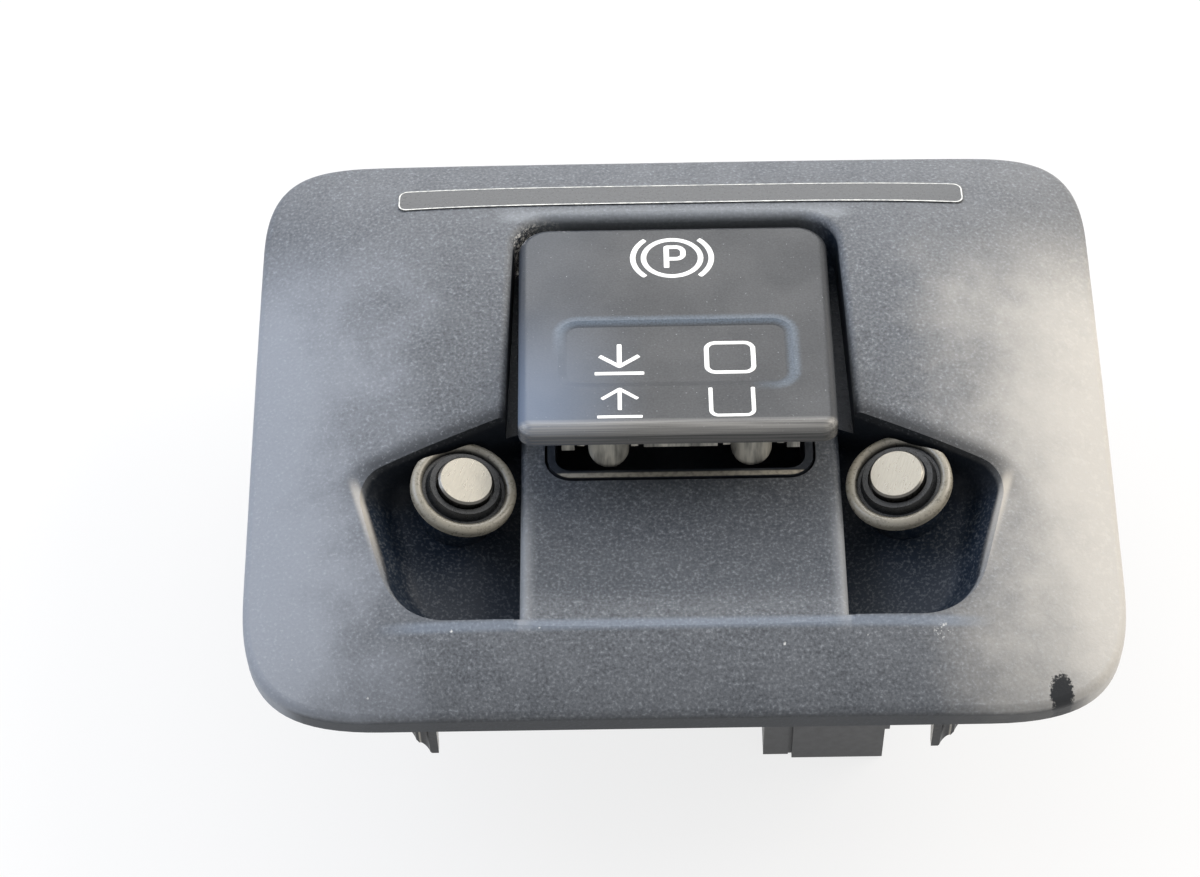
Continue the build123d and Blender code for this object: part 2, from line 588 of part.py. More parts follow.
def paddle_lever():
    """Carrier in the cap: plate, hub, ribs, two pads for the plungers, stepped skirt and two prongs."""
    top = -CAP_WALL
    plate = box(-LEVER_HALF, LEVER_HALF, -PADDLE_LENGTH + 2.6, -2.6, top - LEVER_PLATE, top)
    body = paddle_plane().location * plate
    body += bar(PIVOT_Y, PIVOT_Z, HUB_HALF, HUB_OUTER)
    low = top - LEVER_PLATE / 2
    for x in (-15.0, 0.0, 15.0):
        web = [on_paddle(-PADDLE_LENGTH + 6.0, low), on_paddle(-4.0, low), (PIVOT_Y + 1.5, PIVOT_Z - 1.5),
               (PIVOT_Y - 1.5, PIVOT_Z - 1.5), on_paddle(-26.0, top - 6.0), on_paddle(-PADDLE_LENGTH + 6.0, top - 3.0)]
        body += side_profile(web, x - 0.8, x + 0.8)
    for x, y, _ in PLUNGERS.values():
        ball = PLUNGER_TOP + PAD_GAP + PAD_RADIUS
        body += rod(x, y, ball, paddle_z(y + PAD_RADIUS, CAP_WALL + 0.2), PAD_RADIUS)
        body += Pos(x, y, ball) * Sphere(PAD_RADIUS)
        body += box(x - 0.8, x + 0.8, min(y, PIVOT_Y), max(y, PIVOT_Y), PIVOT_Z - 3.5, PIVOT_Z + 1.5)
    half = SKIRT_TEETH[-1][1]
    body += box(-half, half, SKIRT_FRONT, SKIRT_BACK, SKIRT_ROOT, SKIRT_TOP)
    for inner, outer, low in SKIRT_TEETH:
        for tooth in both(box(inner, outer, SKIRT_FRONT, SKIRT_BACK, low, SKIRT_ROOT)):
            body += tooth
    y = PRONG_FRONT + PRONG_RADIUS
    ball = PRONG_TIP + PRONG_RADIUS
    for x in (-PRONG_X, PRONG_X):
        body += rod(x, y, ball, 12.6, PRONG_RADIUS)
        body += Pos(x, y, ball) * Sphere(PRONG_RADIUS)
    return body - bar(PIVOT_Y, PIVOT_Z, 30, PIVOT_RADIUS + PIVOT_PLAY)


def rivet_body():
    """Expanding rivet of the right side: flange with a flat, hub ring, and a shank split in four."""
    hub = HEAD_RADIUS + HEAD_GAP
    rim_in, rim_out = (FLANGE_RADIUS - RIM_WIDE, FLANGE_TROUGH), (FLANGE_RADIUS, FLANGE_TROUGH - 0.2)
    ring = [(FLANGE_RADIUS, 0.0), (SHANK_BORE, 0.0), (SHANK_BORE, 0.4), (hub, 0.4), (hub, HUB_TOP)]
    ring += [(HUB_RADIUS - 0.2, HUB_TOP), (HUB_RADIUS + 0.3, FLANGE_TROUGH)]
    top = ThreePointArc(rim_in, (FLANGE_RADIUS - RIM_WIDE / 2, FLANGE_THICK), rim_out)
    face = make_face(Curve() + [Polyline(rim_out, *ring, rim_in), top])
    body = revolve(Plane.XZ * face, Axis.Z)
    body -= Rot(0, 0, FLAT_TURN) * Pos(FLANGE_FLAT + 5, 0, 0) * Box(10, 30, 10)
    leg = [(SHANK_BORE, 0.0), (NECK_RADIUS, 0.0), (NECK_RADIUS, -NECK_LENGTH), (SHANK_RADIUS, -NECK_LENGTH)]
    leg += [(SHANK_RADIUS, -SHANK_STRAIGHT)]
    leg += [(2.8, -SHANK_LENGTH), (SHANK_BORE, -SHANK_LENGTH)]
    shank = revolve(Plane.XZ * make_face(Polyline(*leg, close=True)), Axis.Z)
    for turn in (0, 90):
        shank -= Rot(0, 0, turn) * Pos(0, 0, -SHANK_LENGTH / 2 - 2.5) * Box(12, 1.1, SHANK_LENGTH)
    return rivet_plane().location * (body + shank)


def rivet_pin():
    """Pin of the right rivet, driven in: flat head and a tapered shaft."""
    profile = [(0, HEAD_TOP), (HEAD_RADIUS - 0.3, HEAD_TOP), (HEAD_RADIUS, HEAD_TOP - 0.3), (HEAD_RADIUS, 0.5)]
    tip = 1.0 - SHANK_LENGTH
    profile += [(PIN_RADIUS, 0.5), (PIN_RADIUS, tip + 1.5), (1.0, tip), (0, tip)]
    return rivet_plane().location * revolve(Plane.XZ * make_face(Polyline(*profile, close=True)), Axis.Z)


def screws():
    """Pan-head screws through the lugs into the bosses."""
    found = []
    for x, y in SCREW_PLACES:
        seat = LUG_FRONT - LUG_THICK
        head = rod(x, y, seat - 2.0, seat, SCREW_HEAD)
        head = fillet(head.faces().sort_by(Axis.Z)[0].edges(), 0.9)
        for turn in (0, 90):
            head -= Pos(x, y, seat - 2.0) * Rot(0, 0, turn) * Box(3.2, 0.7, 1.8)
        found.append(head + rod(x, y, seat - 0.1, seat + SCREW_LENGTH, SCREW_RADIUS))
    return found


def notice_label():
    """Film strip with round ends on the top border, following its crown."""
    left, right, low, high = LABEL
    plan = Pos((left + right) / 2, (low + high) / 2) * RectangleRounded(right - left, high - low, 1.2)
    column = extrude(plan, 20)
    return (crown_block(-LABEL_THICK) & column) - crown_block()


def write(name, *shapes):
    """Write one piece, or a group of like pieces, lifted to lie on Z 0."""
    solids = [Pos(0, 0, HOUSING_BACK) * solid for shape in shapes for solid in shape.solids()]
    whole = solids[0] if len(solids) == 1 else Compound(children=solids)
    export_step(whole, f"parts/{name}.step")
    print(f"{name}: {len(solids)} solid(s), {sum(s.volume for s in solids):.1f} mm3")


def main():
    os.makedirs("parts", exist_ok=True)
    write("bezel", bezel())
    write("notice_label", notice_label())
    write("paddle_cap", paddle_cap())
    write("paddle_lever", paddle_lever())
    write("pivot_pin", bar(PIVOT_Y, PIVOT_Z, COLLAR_HALF, PIVOT_RADIUS))
    write("housing", housing())
    write("housing_cover", housing_cover())
    write("connector_shell", connector_shell())
    write("terminal_pins", *terminal_pins())
    write("circuit_board", circuit_board())
    for name, (x, y, gap) in PLUNGERS.items():
        write(f"{name}_plunger", plunger(x, y))
        write(f"{name}_spring", spring(x, y))
        write(f"{name}_switch", tact_switch(x, y, gap))
    for name, shape in (("rivet_body", rivet_body()), ("rivet_pin", rivet_pin())):
        right, left = both(shape)
        write(f"{name}_left", left)
        write(f"{name}_right", right)
    write("housing_screws", *screws())


if __name__ == "__main__":
    main()
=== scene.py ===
"""Finishes, printed legends and studio for a parking brake switch.

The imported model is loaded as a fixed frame. Its origin is at the foot of the rear cover, X to the right, Y to
the bezel's top edge, Z out of its face. Lengths below are in millimetres of that frame unless a name says m.
"""

import math

import bpy
import numpy as np
from bpy.props import FloatProperty, FloatVectorProperty, PointerProperty
from mathutils import Matrix, Vector


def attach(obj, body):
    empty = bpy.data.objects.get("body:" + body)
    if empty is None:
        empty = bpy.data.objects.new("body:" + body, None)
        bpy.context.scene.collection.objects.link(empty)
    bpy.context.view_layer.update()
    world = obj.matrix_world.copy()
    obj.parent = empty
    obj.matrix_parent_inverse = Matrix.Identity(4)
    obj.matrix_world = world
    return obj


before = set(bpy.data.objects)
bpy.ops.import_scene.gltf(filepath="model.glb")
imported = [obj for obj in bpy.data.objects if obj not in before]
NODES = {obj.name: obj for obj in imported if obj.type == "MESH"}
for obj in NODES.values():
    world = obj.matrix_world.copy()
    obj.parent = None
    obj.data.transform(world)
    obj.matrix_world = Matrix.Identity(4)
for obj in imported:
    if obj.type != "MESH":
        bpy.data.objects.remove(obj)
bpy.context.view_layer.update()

bl_info = {
    "name": "Parking Brake Switch Finish",
    "version": (1, 0, 0),
    "blender": (4, 5, 0),
    "location": "View3D > Sidebar > Brake Switch",
    "description": "Moulded, printed and metal finishes for a push and pull parking brake switch",
    "category": "Object",
}

MM = 0.001
LIFT = 36.0  # the bezel's outline plane, over the rear cover

# The button's face: its top edge, how far it leans back, and the finger pad pressed into it. The pad's core
# is half its sides in plan, less the corners' radius
FACE_TOP_Y, FACE_TOP_Z = 32.2, 5.0 + LIFT
FACE_LEAN = math.radians(14.65)
PAD_DEPTH = 0.3
PAD_CENTRE, PAD_CORE, PAD_CORNER = (-0.4, 4.2), (13.8, 4.0), 3.0

# Printed legends, across and up from the face's top edge. A row has its lower and upper edge and its signs,
# each with its left and right edge, all with the stroke's width counted in
UPPER_ROW = (-33.4, -26.35, [("push", -12.4, -4.6)])
LOWER_ROW = (-42.85, -36.4, [("pull", -12.0, -5.0), ("open", 4.0, 10.6)])
LETTER_ROW = (-10.35, -4.8, [("P", -1.75, 1.5)])
CLOSED_BOX = [(3.6, -33.45), (11.0, -33.45), (11.0, -26.35), (3.6, -26.35)]
BOX_CORNER = 1.3
SIGN_CENTRE, SIGN_RING, SIGN_BRACKET = (-0.53, -7.67), 4.22, 5.8  # radii of its ring and its two brackets
BRACKET_SPANS = [(-47, 47), (133, 227)]
SIGN_STROKE, LETTER_STROKE = 0.86, 0.78
ARC_POINTS = 48
INK_HEIGHT, FOIL_HEIGHT = 0.03, 0.02  # over the face, and as deep in it

# Rivets: where the right one's flange seats, and how far it leans
RIVET_SEAT = (31.0, -13.6, 4.2 + LIFT)
RIVET_LEAN = math.radians(12.0)

# Notice film: left, right, lower and upper edge, corner radius, and the border's inset and width
FILM = (-41.6, 43.6, 36.4, 41.0)
FILM_CORNER = 1.2
BORDER_INSET, BORDER_WIDTH = 0.16, 0.22

# Wear of the paint: chips as x, y and radius, read off the lower border, a scrape and a bare patch
CHIPS = [(-32.2, -36.9, 0.22), (-20.0, -36.7, 0.12), (13.7, -39.5, 0.2), (25.2, -38.3, 0.1)]
CHIPS += [(-43.7, -45.6, 0.12), (-54.4, -39.4, 0.1)]
SCRAPE, PATCH = (35.6, -37.6), (51.6, -45.9)
GRIT_CENTRE, GRIT_REACH = (-18.5, 27.5), 5.0  # an arc of grit in the gap at the button's upper left corner

# The pockets' outer rims run along |x| = RIM_OFFSET + RIM_SLANT y, their upper edges from RIM_TOP outwards
RIM_SLANT, RIM_OFFSET = 0.307, 50.4
RIM_TOP, RIM_TOP_NORMAL = (22.8, -2.6, 0.0), (0.3666, 0.9304, 0.0)
CROWN_REACH = 66.0  # this far from the middle the crowned face would be 1 mm under the outline
SILL_Y = -36.2
FIN_TOP = LIFT - 2.6
LIP_TOP, LIP_FRONT = LIFT + 3.8, -10.7  # the housing's lip in the slot under the button
FLANGE_RIM, HEAD_RIM = 6.2, 3.67  # radii of a painted highlight ring, mottled by scuffs, on a rivet's flange, and where its head turns down

# Sizes of the patterns in the materials
CLOUD = 7.0
HAZE_AND_SHEEN = 11.0
BLOTCH = 1.1
RAGGED = 0.5

# Floor and light
FLOOR_HALF_M, FLOOR_QUADS, FLOOR_DROP_M = 3.0, 4, 0.0002
PAPER_GLOW = 0.8  # how far the floor is washed to white where it is seen
ROOM_LEVEL = 0.45  # the world's strength where it lights
# Softboxes: place and size in metres, share of the key's power, colour
SOFTBOXES = [
    ("right_softbox", (0.75, 0.35, 0.55), 0.7, 1.0, "#fff6ea"),
    ("left_softbox", (-0.75, 0.30, 0.60), 0.7, 0.7, "#dfeaff"),
    ("back_softbox", (0.0, 0.95, 0.55), 0.8, 0.8, "#ffffff"),
]

# Camera at the photograph's angle, for an image of 1200 x 877
IMAGE_WIDTH = 1200
FOCAL_PIXELS = 3234.15
SENSOR = 36.0
CAMERA_AZIMUTH, CAMERA_ELEVATION, CAMERA_ROLL = 1.019, 57.070, -1.743
CAMERA_DISTANCE = 469.03
CAMERA_TARGET = (-11.494, -2.318, LIFT)
CLIP_M = (0.01, 20.0)

SMOOTH = {"interpolation_type": "SMOOTHSTEP"}


def linear(code):
    """Linear RGBA of an sRGB hex colour."""
    parts = [int(code[i : i + 2], 16) / 255 for i in (1, 3, 5)]
    return tuple(p / 12.92 if p <= 0.04045 else ((p + 0.055) / 1.055) ** 2.4 for p in parts) + (1.0,)


def connect(tree, node, sockets):
    """Set a node's inputs to values, or link them to outputs or to the results of other nodes."""
    for key, value in sockets.items():
        if isinstance(value, bpy.types.Node):
            value = next(output for output in value.outputs if output.enabled)
        if isinstance(value, bpy.types.NodeSocket):
            tree.links.new(value, node.inputs[key])
        else:
            node.inputs[key].default_value = value


def add(tree, kind, sockets=None, **settings):
    """Add a shader node with its properties and inputs.

    A Map Range reads its input 0 from 1 to 2 and gives 3 to 4, which are 0 and 1 where they aren't said.
    """
    node = tree.nodes.new("ShaderNode" + kind)
    for key, value in settings.items():
        setattr(node, key, value)
    connect(tree, node, sockets or {})
    return node


def begin(name, **sockets):
    """A new material: its tree, its shader, and object coordinates in millimetres."""
    material = bpy.data.materials.new(name)
    material.use_nodes = True
    tree = material.node_tree
    tree.nodes.clear()
    shader = add(tree, "BsdfPrincipled", {key.replace("_", " "): value for key, value in sockets.items()})
    add(tree, "OutputMaterial", {"Surface": shader})
    place = add(tree, "TexCoord").outputs["Object"]
    millimetres = add(tree, "VectorMath", {0: place, "Scale": 1 / MM}, operation="SCALE")
    return material, tree, shader, millimetres


def layered(tree, base, *layers):
    """A colour under layers, each one or more factors, which are multiplied, and then the colour on top.

    Colours are hex codes, RGBA or nodes.
    """
    colour = linear(base) if isinstance(base, str) else base
    for factor, *masks, cover in layers:
        for mask in masks:
            factor = add(tree, "Math", {0: factor, 1: mask}, operation="MULTIPLY")
        cover = linear(cover) if isinstance(cover, str) else cover
        colour = add(tree, "Mix", {0: factor, 6: colour, 7: cover}, data_type="RGBA")
    return colour


def finish(node_names, material):
    """Give CAD nodes this material in every slot."""
    for name in node_names:
        slots = NODES[name].data.materials
        slots.clear()
        slots.append(material)


# Materials


def grit(tree, mm, ragged):
    """Factor of the pale grit along an arc of the gap: a ring about the corner's centre, broken by noise."""
    away = add(tree, "VectorMath", {0: mm, 1: GRIT_CENTRE + (0.0,)}, operation="SUBTRACT")
    flat = add(tree, "VectorMath", {0: away, 1: (1.0, 1.0, 0.0)}, operation="MULTIPLY")
    reach = add(tree, "VectorMath", {0: flat}, operation="LENGTH")
    off = add(tree, "Math", {0: reach, 1: GRIT_REACH}, operation="SUBTRACT")
    off = add(tree, "Math", {0: off}, operation="ABSOLUTE")
    ring = add(tree, "MapRange", {0: off, 1: 1.1, 2: 0.5})
    split = add(tree, "SeparateXYZ", {0: away})
    above = add(tree, "MapRange", {0: split.outputs[1], 1: 0.4, 2: 1.6})
    leftward = add(tree, "MapRange", {0: split.outputs[0], 1: 3.0, 2: 1.0})
    found = add(tree, "MapRange", {0: ragged, 1: 0.52, 2: 0.56})
    for mask in (ring, above, leftward):
        found = add(tree, "Math", {0: found, 1: mask}, operation="MULTIPLY")
    return found


def haze_and_sheen(tree, mm, x, y):
    """Layers of pale haze worn by hands under a painted warm sheen on the right, painted cool light on the
    left, and scuffs on the right edge.
    """
    wander = add(tree, "TexNoise", {"Vector": mm, "Scale": 1 / HAZE_AND_SHEEN, "Detail": 4.0, "Roughness": 0.62})
    shifted = add(tree, "Math", {0: wander, 1: 26.0, 2: x}, operation="MULTIPLY_ADD")
    # Painted warm sheen on the right, over haze worn by hands
    right = add(tree, "MapRange", {0: shifted, 1: 42.0, 2: 74.0, 4: 0.9}, **SMOOTH)
    below_right = add(tree, "MapRange", {0: y, 1: 38.0, 2: 12.0, 3: 0.1}, **SMOOTH)
    # Painted cool light on the left
    left = add(tree, "MapRange", {0: shifted, 1: -20.0, 2: -44.0, 4: 0.7}, **SMOOTH)
    below_left = add(tree, "MapRange", {0: y, 1: 36.0, 2: 14.0, 3: 0.1}, **SMOOTH)
    blotch = add(tree, "TexNoise", {"Vector": mm, "Scale": 1 / BLOTCH, "Detail": 4.0, "Roughness": 0.7})
    scuff = add(tree, "MapRange", {0: blotch, 1: 0.52, 2: 0.62, 4: 0.38})
    edge = add(tree, "MapRange", {0: x, 1: 51.0, 2: 59.0})
    return [
        (right, below_right, "#bebbb5"),
        (left, below_left, "#9a9fa7"),
        (scuff, edge, below_right, "#c6c3bd"),
    ]


def sunken(tree, out_x, y, z, above):
    """Factor of the painted shade in the well and the pockets, and less of it on the ramp, by the depth under
    the crowned face.

    The face stands p (1 - (x / CROWN_REACH)^4) - 1 over the outline. p grows with y, and falls near the top.
    """
    profile = add(tree, "MapRange", {0: y, 1: -36.0, 2: -15.0, 3: 6.5, 4: 8.8})
    falling = add(tree, "MapRange", {0: y, 1: 18.0, 2: 32.3, 4: 2.0})
    profile = add(tree, "Math", {0: profile, 1: falling}, operation="SUBTRACT")
    across = add(tree, "Math", {0: out_x, 1: 1 / CROWN_REACH}, operation="MULTIPLY")
    across = add(tree, "Math", {0: across, 1: 4.0}, operation="POWER")
    across = add(tree, "Math", {0: 1.0, 1: across}, operation="SUBTRACT")
    height = add(tree, "Math", {0: profile, 1: across, 2: LIFT - 1.0}, operation="MULTIPLY_ADD")
    depth = add(tree, "Math", {0: height, 1: z}, operation="SUBTRACT")
    inside = add(tree, "MapRange", {0: depth, 1: 0.5, 2: 1.3}, **SMOOTH)
    beside = add(tree, "MapRange", {0: out_x, 1: 49.0, 2: 45.5})
    under = add(tree, "MapRange", {0: y, 1: 33.2, 2: 32.2})
    off_ramp = add(tree, "MapRange", {0: out_x, 1: 21.8, 2: 23.2, 3: 0.4})
    for mask in (beside, above, under, off_ramp):
        inside = add(tree, "Math", {0: inside, 1: mask}, operation="MULTIPLY")
    return inside


def pocket_edges(tree, out_x, y):
    """Layers of painted shade along the pockets' upper edges, by distance from their line, and of a painted
    pale highlight along the sill below.
    """
    mirrored = add(tree, "CombineXYZ", {0: out_x, 1: y})
    from_top = add(tree, "VectorMath", {0: mirrored, 1: RIM_TOP}, operation="SUBTRACT")
    off_top = add(tree, "VectorMath", {0: from_top, 1: RIM_TOP_NORMAL}, operation="DOT_PRODUCT")
    # Painted shade above the pockets' upper edges
    painted_rim_shade = add(tree, "MapRange", {0: off_top, 1: 3.2, 2: 0.2, 4: 0.85}, **SMOOTH)
    near_top = add(tree, "MapRange", {0: off_top, 1: -5.0, 2: -2.5})
    short_of_rim = add(tree, "MapRange", {0: out_x, 1: 49.5, 2: 43.0}, **SMOOTH)
    off_well = add(tree, "MapRange", {0: out_x, 1: 22.6, 2: 24.5})
    off_sill = add(tree, "Math", {0: y, 1: SILL_Y}, operation="SUBTRACT")
    off_sill = add(tree, "Math", {0: off_sill}, operation="ABSOLUTE")
    # Painted pale highlight along the sill
    sill = add(tree, "MapRange", {0: off_sill, 1: 1.2, 2: 0.3, 4: 0.38}, **SMOOTH)
    along = add(tree, "MapRange", {0: out_x, 1: 43.0, 2: 37.0})
    return [
        (painted_rim_shade, near_top, short_of_rim, off_well, "#14181e"),
        (sill, along, "#909dae"),
    ]


def edge_highlights(tree, out_x, y, above):
    """Layers of painted highlights along edges: over the well's upper one, on the ramp's long ones, on the
    pockets' outer rims.
    """
    # Painted light over the well's upper edge, where it lies in shade
    over = add(tree, "MapRange", {0: y, 1: 32.4, 2: 33.4, 4: 0.45})
    short_of_film = add(tree, "MapRange", {0: y, 1: 36.4, 2: 34.4})
    beside = add(tree, "MapRange", {0: out_x, 1: 27.0, 2: 24.5})
    # Painted highlight along the ramp's long edges
    ramp = add(tree, "MapRange", {0: out_x, 1: 20.2, 2: 22.6, 4: 0.5}, **SMOOTH)
    on_ramp = add(tree, "MapRange", {0: out_x, 1: 23.2, 2: 22.9})
    lower_half = add(tree, "MapRange", {0: y, 1: -13.0, 2: -22.0})
    slanted = add(tree, "Math", {0: y, 1: -RIM_SLANT, 2: out_x}, operation="MULTIPLY_ADD")
    off_rim = add(tree, "Math", {0: slanted, 1: RIM_OFFSET}, operation="SUBTRACT")
    off_rim = add(tree, "Math", {0: off_rim}, operation="ABSOLUTE")
    # Painted highlight along the pockets' outer rims
    rim = add(tree, "MapRange", {0: off_rim, 1: 1.1, 2: 0.2, 4: 0.7}, **SMOOTH)
    below_top = add(tree, "MapRange", {0: y, 1: -11.5, 2: -15.0}, **SMOOTH)
    fading = add(tree, "MapRange", {0: y, 1: -30.0, 2: -16.0}, **SMOOTH)
    return [
        (over, short_of_film, beside, "#93989d"),
        (ramp, on_ramp, lower_half, above, "#a0a3a6"),
        (rim, below_top, fading, "#c4beb4"),
    ]


def primer_marks(tree, mm, plan, ragged):
    """Factor of what is down to the pale primer: chips, a scrape, and grit at the well's corner."""
    found = []
    for x, y, radius in CHIPS:
        away = add(tree, "VectorMath", {0: plan, 1: (x, y, 0.0)}, operation="DISTANCE")
        away = add(tree, "Math", {0: ragged, 1: 0.9, 2: away}, operation="MULTIPLY_ADD")
        found.append(add(tree, "MapRange", {0: away, 1: radius + 0.5, 2: radius + 0.3, 4: 0.95}))
    away = add(tree, "VectorMath", {0: plan, 1: SCRAPE + (0.0,)}, operation="DISTANCE")
    near = add(tree, "MapRange", {0: away, 1: 1.6, 2: 0.6})
    fleck = add(tree, "MapRange", {0: ragged, 1: 0.56, 2: 0.61, 4: 0.9})
    found.append(add(tree, "Math", {0: fleck, 1: near}, operation="MULTIPLY"))
    found.append(grit(tree, mm, ragged))
    marks = found[0]
    for mark in found[1:]:
        marks = add(tree, "Math", {0: marks, 1: mark}, operation="MAXIMUM")
    return marks


def bare_patch(tree, plan, ragged):
    """Factor of the lower right corner, where the paint is rubbed off to the glossy black moulding."""
    away = add(tree, "VectorMath", {0: plan, 1: PATCH + (0.0,)}, operation="SUBTRACT")
    away = add(tree, "VectorMath", {0: away, 1: (1.0, 0.62, 0.0)}, operation="MULTIPLY")
    away = add(tree, "VectorMath", {0: away}, operation="LENGTH")
    away = add(tree, "Math", {0: ragged, 1: 2.0, 2: away}, operation="MULTIPLY_ADD")
    return add(tree, "MapRange", {0: away, 1: 2.75, 2: 2.45})


def painted_panel(settings):
    """Moulded ABS with a soft-touch paint: fine spark-eroded grain, a dull sheen, haze where hands rub it, and
    painted light and shade.
    """
    material, tree, shader, mm = begin("soft_touch_painted_abs", IOR=1.5, Specular_IOR_Level=0.3)
    x, y, z = add(tree, "SeparateXYZ", {0: mm}).outputs
    out_x = add(tree, "Math", {0: x}, operation="ABSOLUTE")
    plan = add(tree, "CombineXYZ", {0: x, 1: y})
    facing = add(tree, "SeparateXYZ", {0: add(tree, "NewGeometry").outputs["Normal"]}).outputs

    # The spark texture, the paint's broad cloudiness, and a noise that breaks up the outlines of chips
    fine = 1 / settings.grain_mm
    grain = add(tree, "TexNoise", {"Vector": mm, "Scale": fine, "Detail": 2.5, "Roughness": 0.6})
    cloud = add(tree, "TexNoise", {"Vector": mm, "Scale": 1 / CLOUD, "Detail": 3.0})
    ragged = add(tree, "TexNoise", {"Vector": mm, "Scale": 1 / RAGGED, "Detail": 3.0, "Roughness": 0.7})
    tone = add(tree, "MapRange", {0: grain, 1: 0.3, 2: 0.72})
    dull = add(tree, "MapRange", {0: cloud, 1: 0.35, 2: 0.7, 4: 0.2})

    # Painted shade fills the well and the pockets: a dark blue with its own sparkle of grain
    above_sill = add(tree, "MapRange", {0: y, 1: -38.0, 2: -34.5})
    inside = sunken(tree, out_x, y, z, above_sill)
    sparkle = add(tree, "MapRange", {0: grain, 1: 0.5, 2: 0.68, 4: 0.75})
    recess_shade_blue = layered(tree, "#081523", (sparkle, "#4a4f55"))
    # Painted glints: pale specks on the grain's peaks, over the open face only
    glint = add(tree, "MapRange", {0: grain, 1: 0.58, 2: 0.74, 4: 0.18})
    open_face = add(tree, "Math", {0: 1.0, 1: inside}, operation="SUBTRACT")

    # Painted shade on the lower edge's own thickness, darker where its faces turn down
    edge_on = add(tree, "MapRange", {0: facing[2], 1: 0.5, 2: 0.15, 4: 0.75})
    lowest = add(tree, "MapRange", {0: y, 1: -45.5, 2: -47.0})

    # Behind the face, and on the fins, the moulding was never painted. The fins' inner faces carry a painted
    # pale reflection, as glossy black seen at a grazing angle
    back = add(tree, "MapRange", {0: facing[2], 1: -0.05, 2: -0.2})
    fin = add(tree, "MapRange", {0: z, 1: FIN_TOP + 0.05, 2: FIN_TOP - 0.05})
    upright = add(tree, "MapRange", {0: facing[2], 1: 0.5, 2: 0.3})
    fin = add(tree, "Math", {0: fin, 1: upright}, operation="MULTIPLY")
    bare = bare_patch(tree, plan, ragged)
    for mask in (back, fin):
        bare = add(tree, "Math", {0: bare, 1: mask}, operation="MAXIMUM")
    # Painted reflection on the fins' inner faces
    inward = add(tree, "Math", {0: facing[0], 1: x}, operation="MULTIPLY")
    inward = add(tree, "MapRange", {0: inward, 1: -18.0, 2: -28.0, 4: 0.85})
    low_front = add(tree, "MapRange", {0: y, 1: -36.0, 2: -38.0})
    moulding = layered(tree, "#16181b", (cloud, "#2b2d30"), (inward, low_front, fin, "#cfcabf"))

    layers = [(tone, "#71757a"), (dull, "#7b7e82")]
    # Haze worn by hands with a painted sheen on the right, and painted cool light on the left
    layers += haze_and_sheen(tree, mm, x, y)
    # Painted shade in the well and the pockets
    layers += [(inside, recess_shade_blue)]
    layers += pocket_edges(tree, out_x, y)
    layers += [(glint, open_face, "#c2c7cd")]
    # Painted highlights along edges
    layers += edge_highlights(tree, out_x, y, above_sill)
    layers += [(primer_marks(tree, mm, plan, ragged), "#dcdcda")]
    # Painted shade on the lowest edge, then the unpainted moulding over all
    layers += [(edge_on, lowest, "#25282c"), (bare, moulding)]
    rough = add(tree, "MapRange", {0: grain, 1: 0.3, 2: 0.7, 3: 0.46, 4: 0.62})
    rough = add(tree, "Mix", {0: bare, 2: rough, 3: 0.3}, data_type="FLOAT")
    bump = add(tree, "Bump", {"Height": grain, "Strength": 0.6, "Distance": 0.06 * MM})
    colour = layered(tree, "#45484d", *layers)
    connect(tree, shader, {"Base Color": colour, "Roughness": rough, "Normal": bump})
    return material


def pad_dust_and_highlight(tree, mm, x, y, grain):
    """Factors of dust and of a painted bluish highlight on the slopes of the finger pad, most on its upper and
    right ones.

    The slopes are where the distance from the pad's core is near its corner radius. That distance is the
    length of the part of a point's offset from the centre that is past the core.
    """
    past = add(tree, "VectorMath", {0: mm, 1: PAD_CENTRE + (0.0,)}, operation="SUBTRACT")
    past = add(tree, "VectorMath", {0: past}, operation="ABSOLUTE")
    past = add(tree, "VectorMath", {0: past, 1: PAD_CORE + (100.0,)}, operation="SUBTRACT")
    past = add(tree, "VectorMath", {0: past, 1: (0.0, 0.0, 0.0)}, operation="MAXIMUM")
    past = add(tree, "VectorMath", {0: past}, operation="LENGTH")
    off_slope = add(tree, "Math", {0: past, 1: PAD_CORNER}, operation="SUBTRACT")
    off_slope = add(tree, "Math", {0: off_slope}, operation="ABSOLUTE")
    slope = add(tree, "MapRange", {0: off_slope, 1: 1.3, 2: 0.2, 4: 0.42}, **SMOOTH)
    high = add(tree, "MapRange", {0: y, 1: 3.0, 2: 10.0})
    right = add(tree, "MapRange", {0: x, 1: 10.0, 2: 16.0})
    dusty = add(tree, "MapRange", {0: grain, 1: 0.3, 2: 0.7, 3: 0.45})
    most = add(tree, "Math", {0: high, 1: right}, operation="MAXIMUM")
    return slope, most, dusty


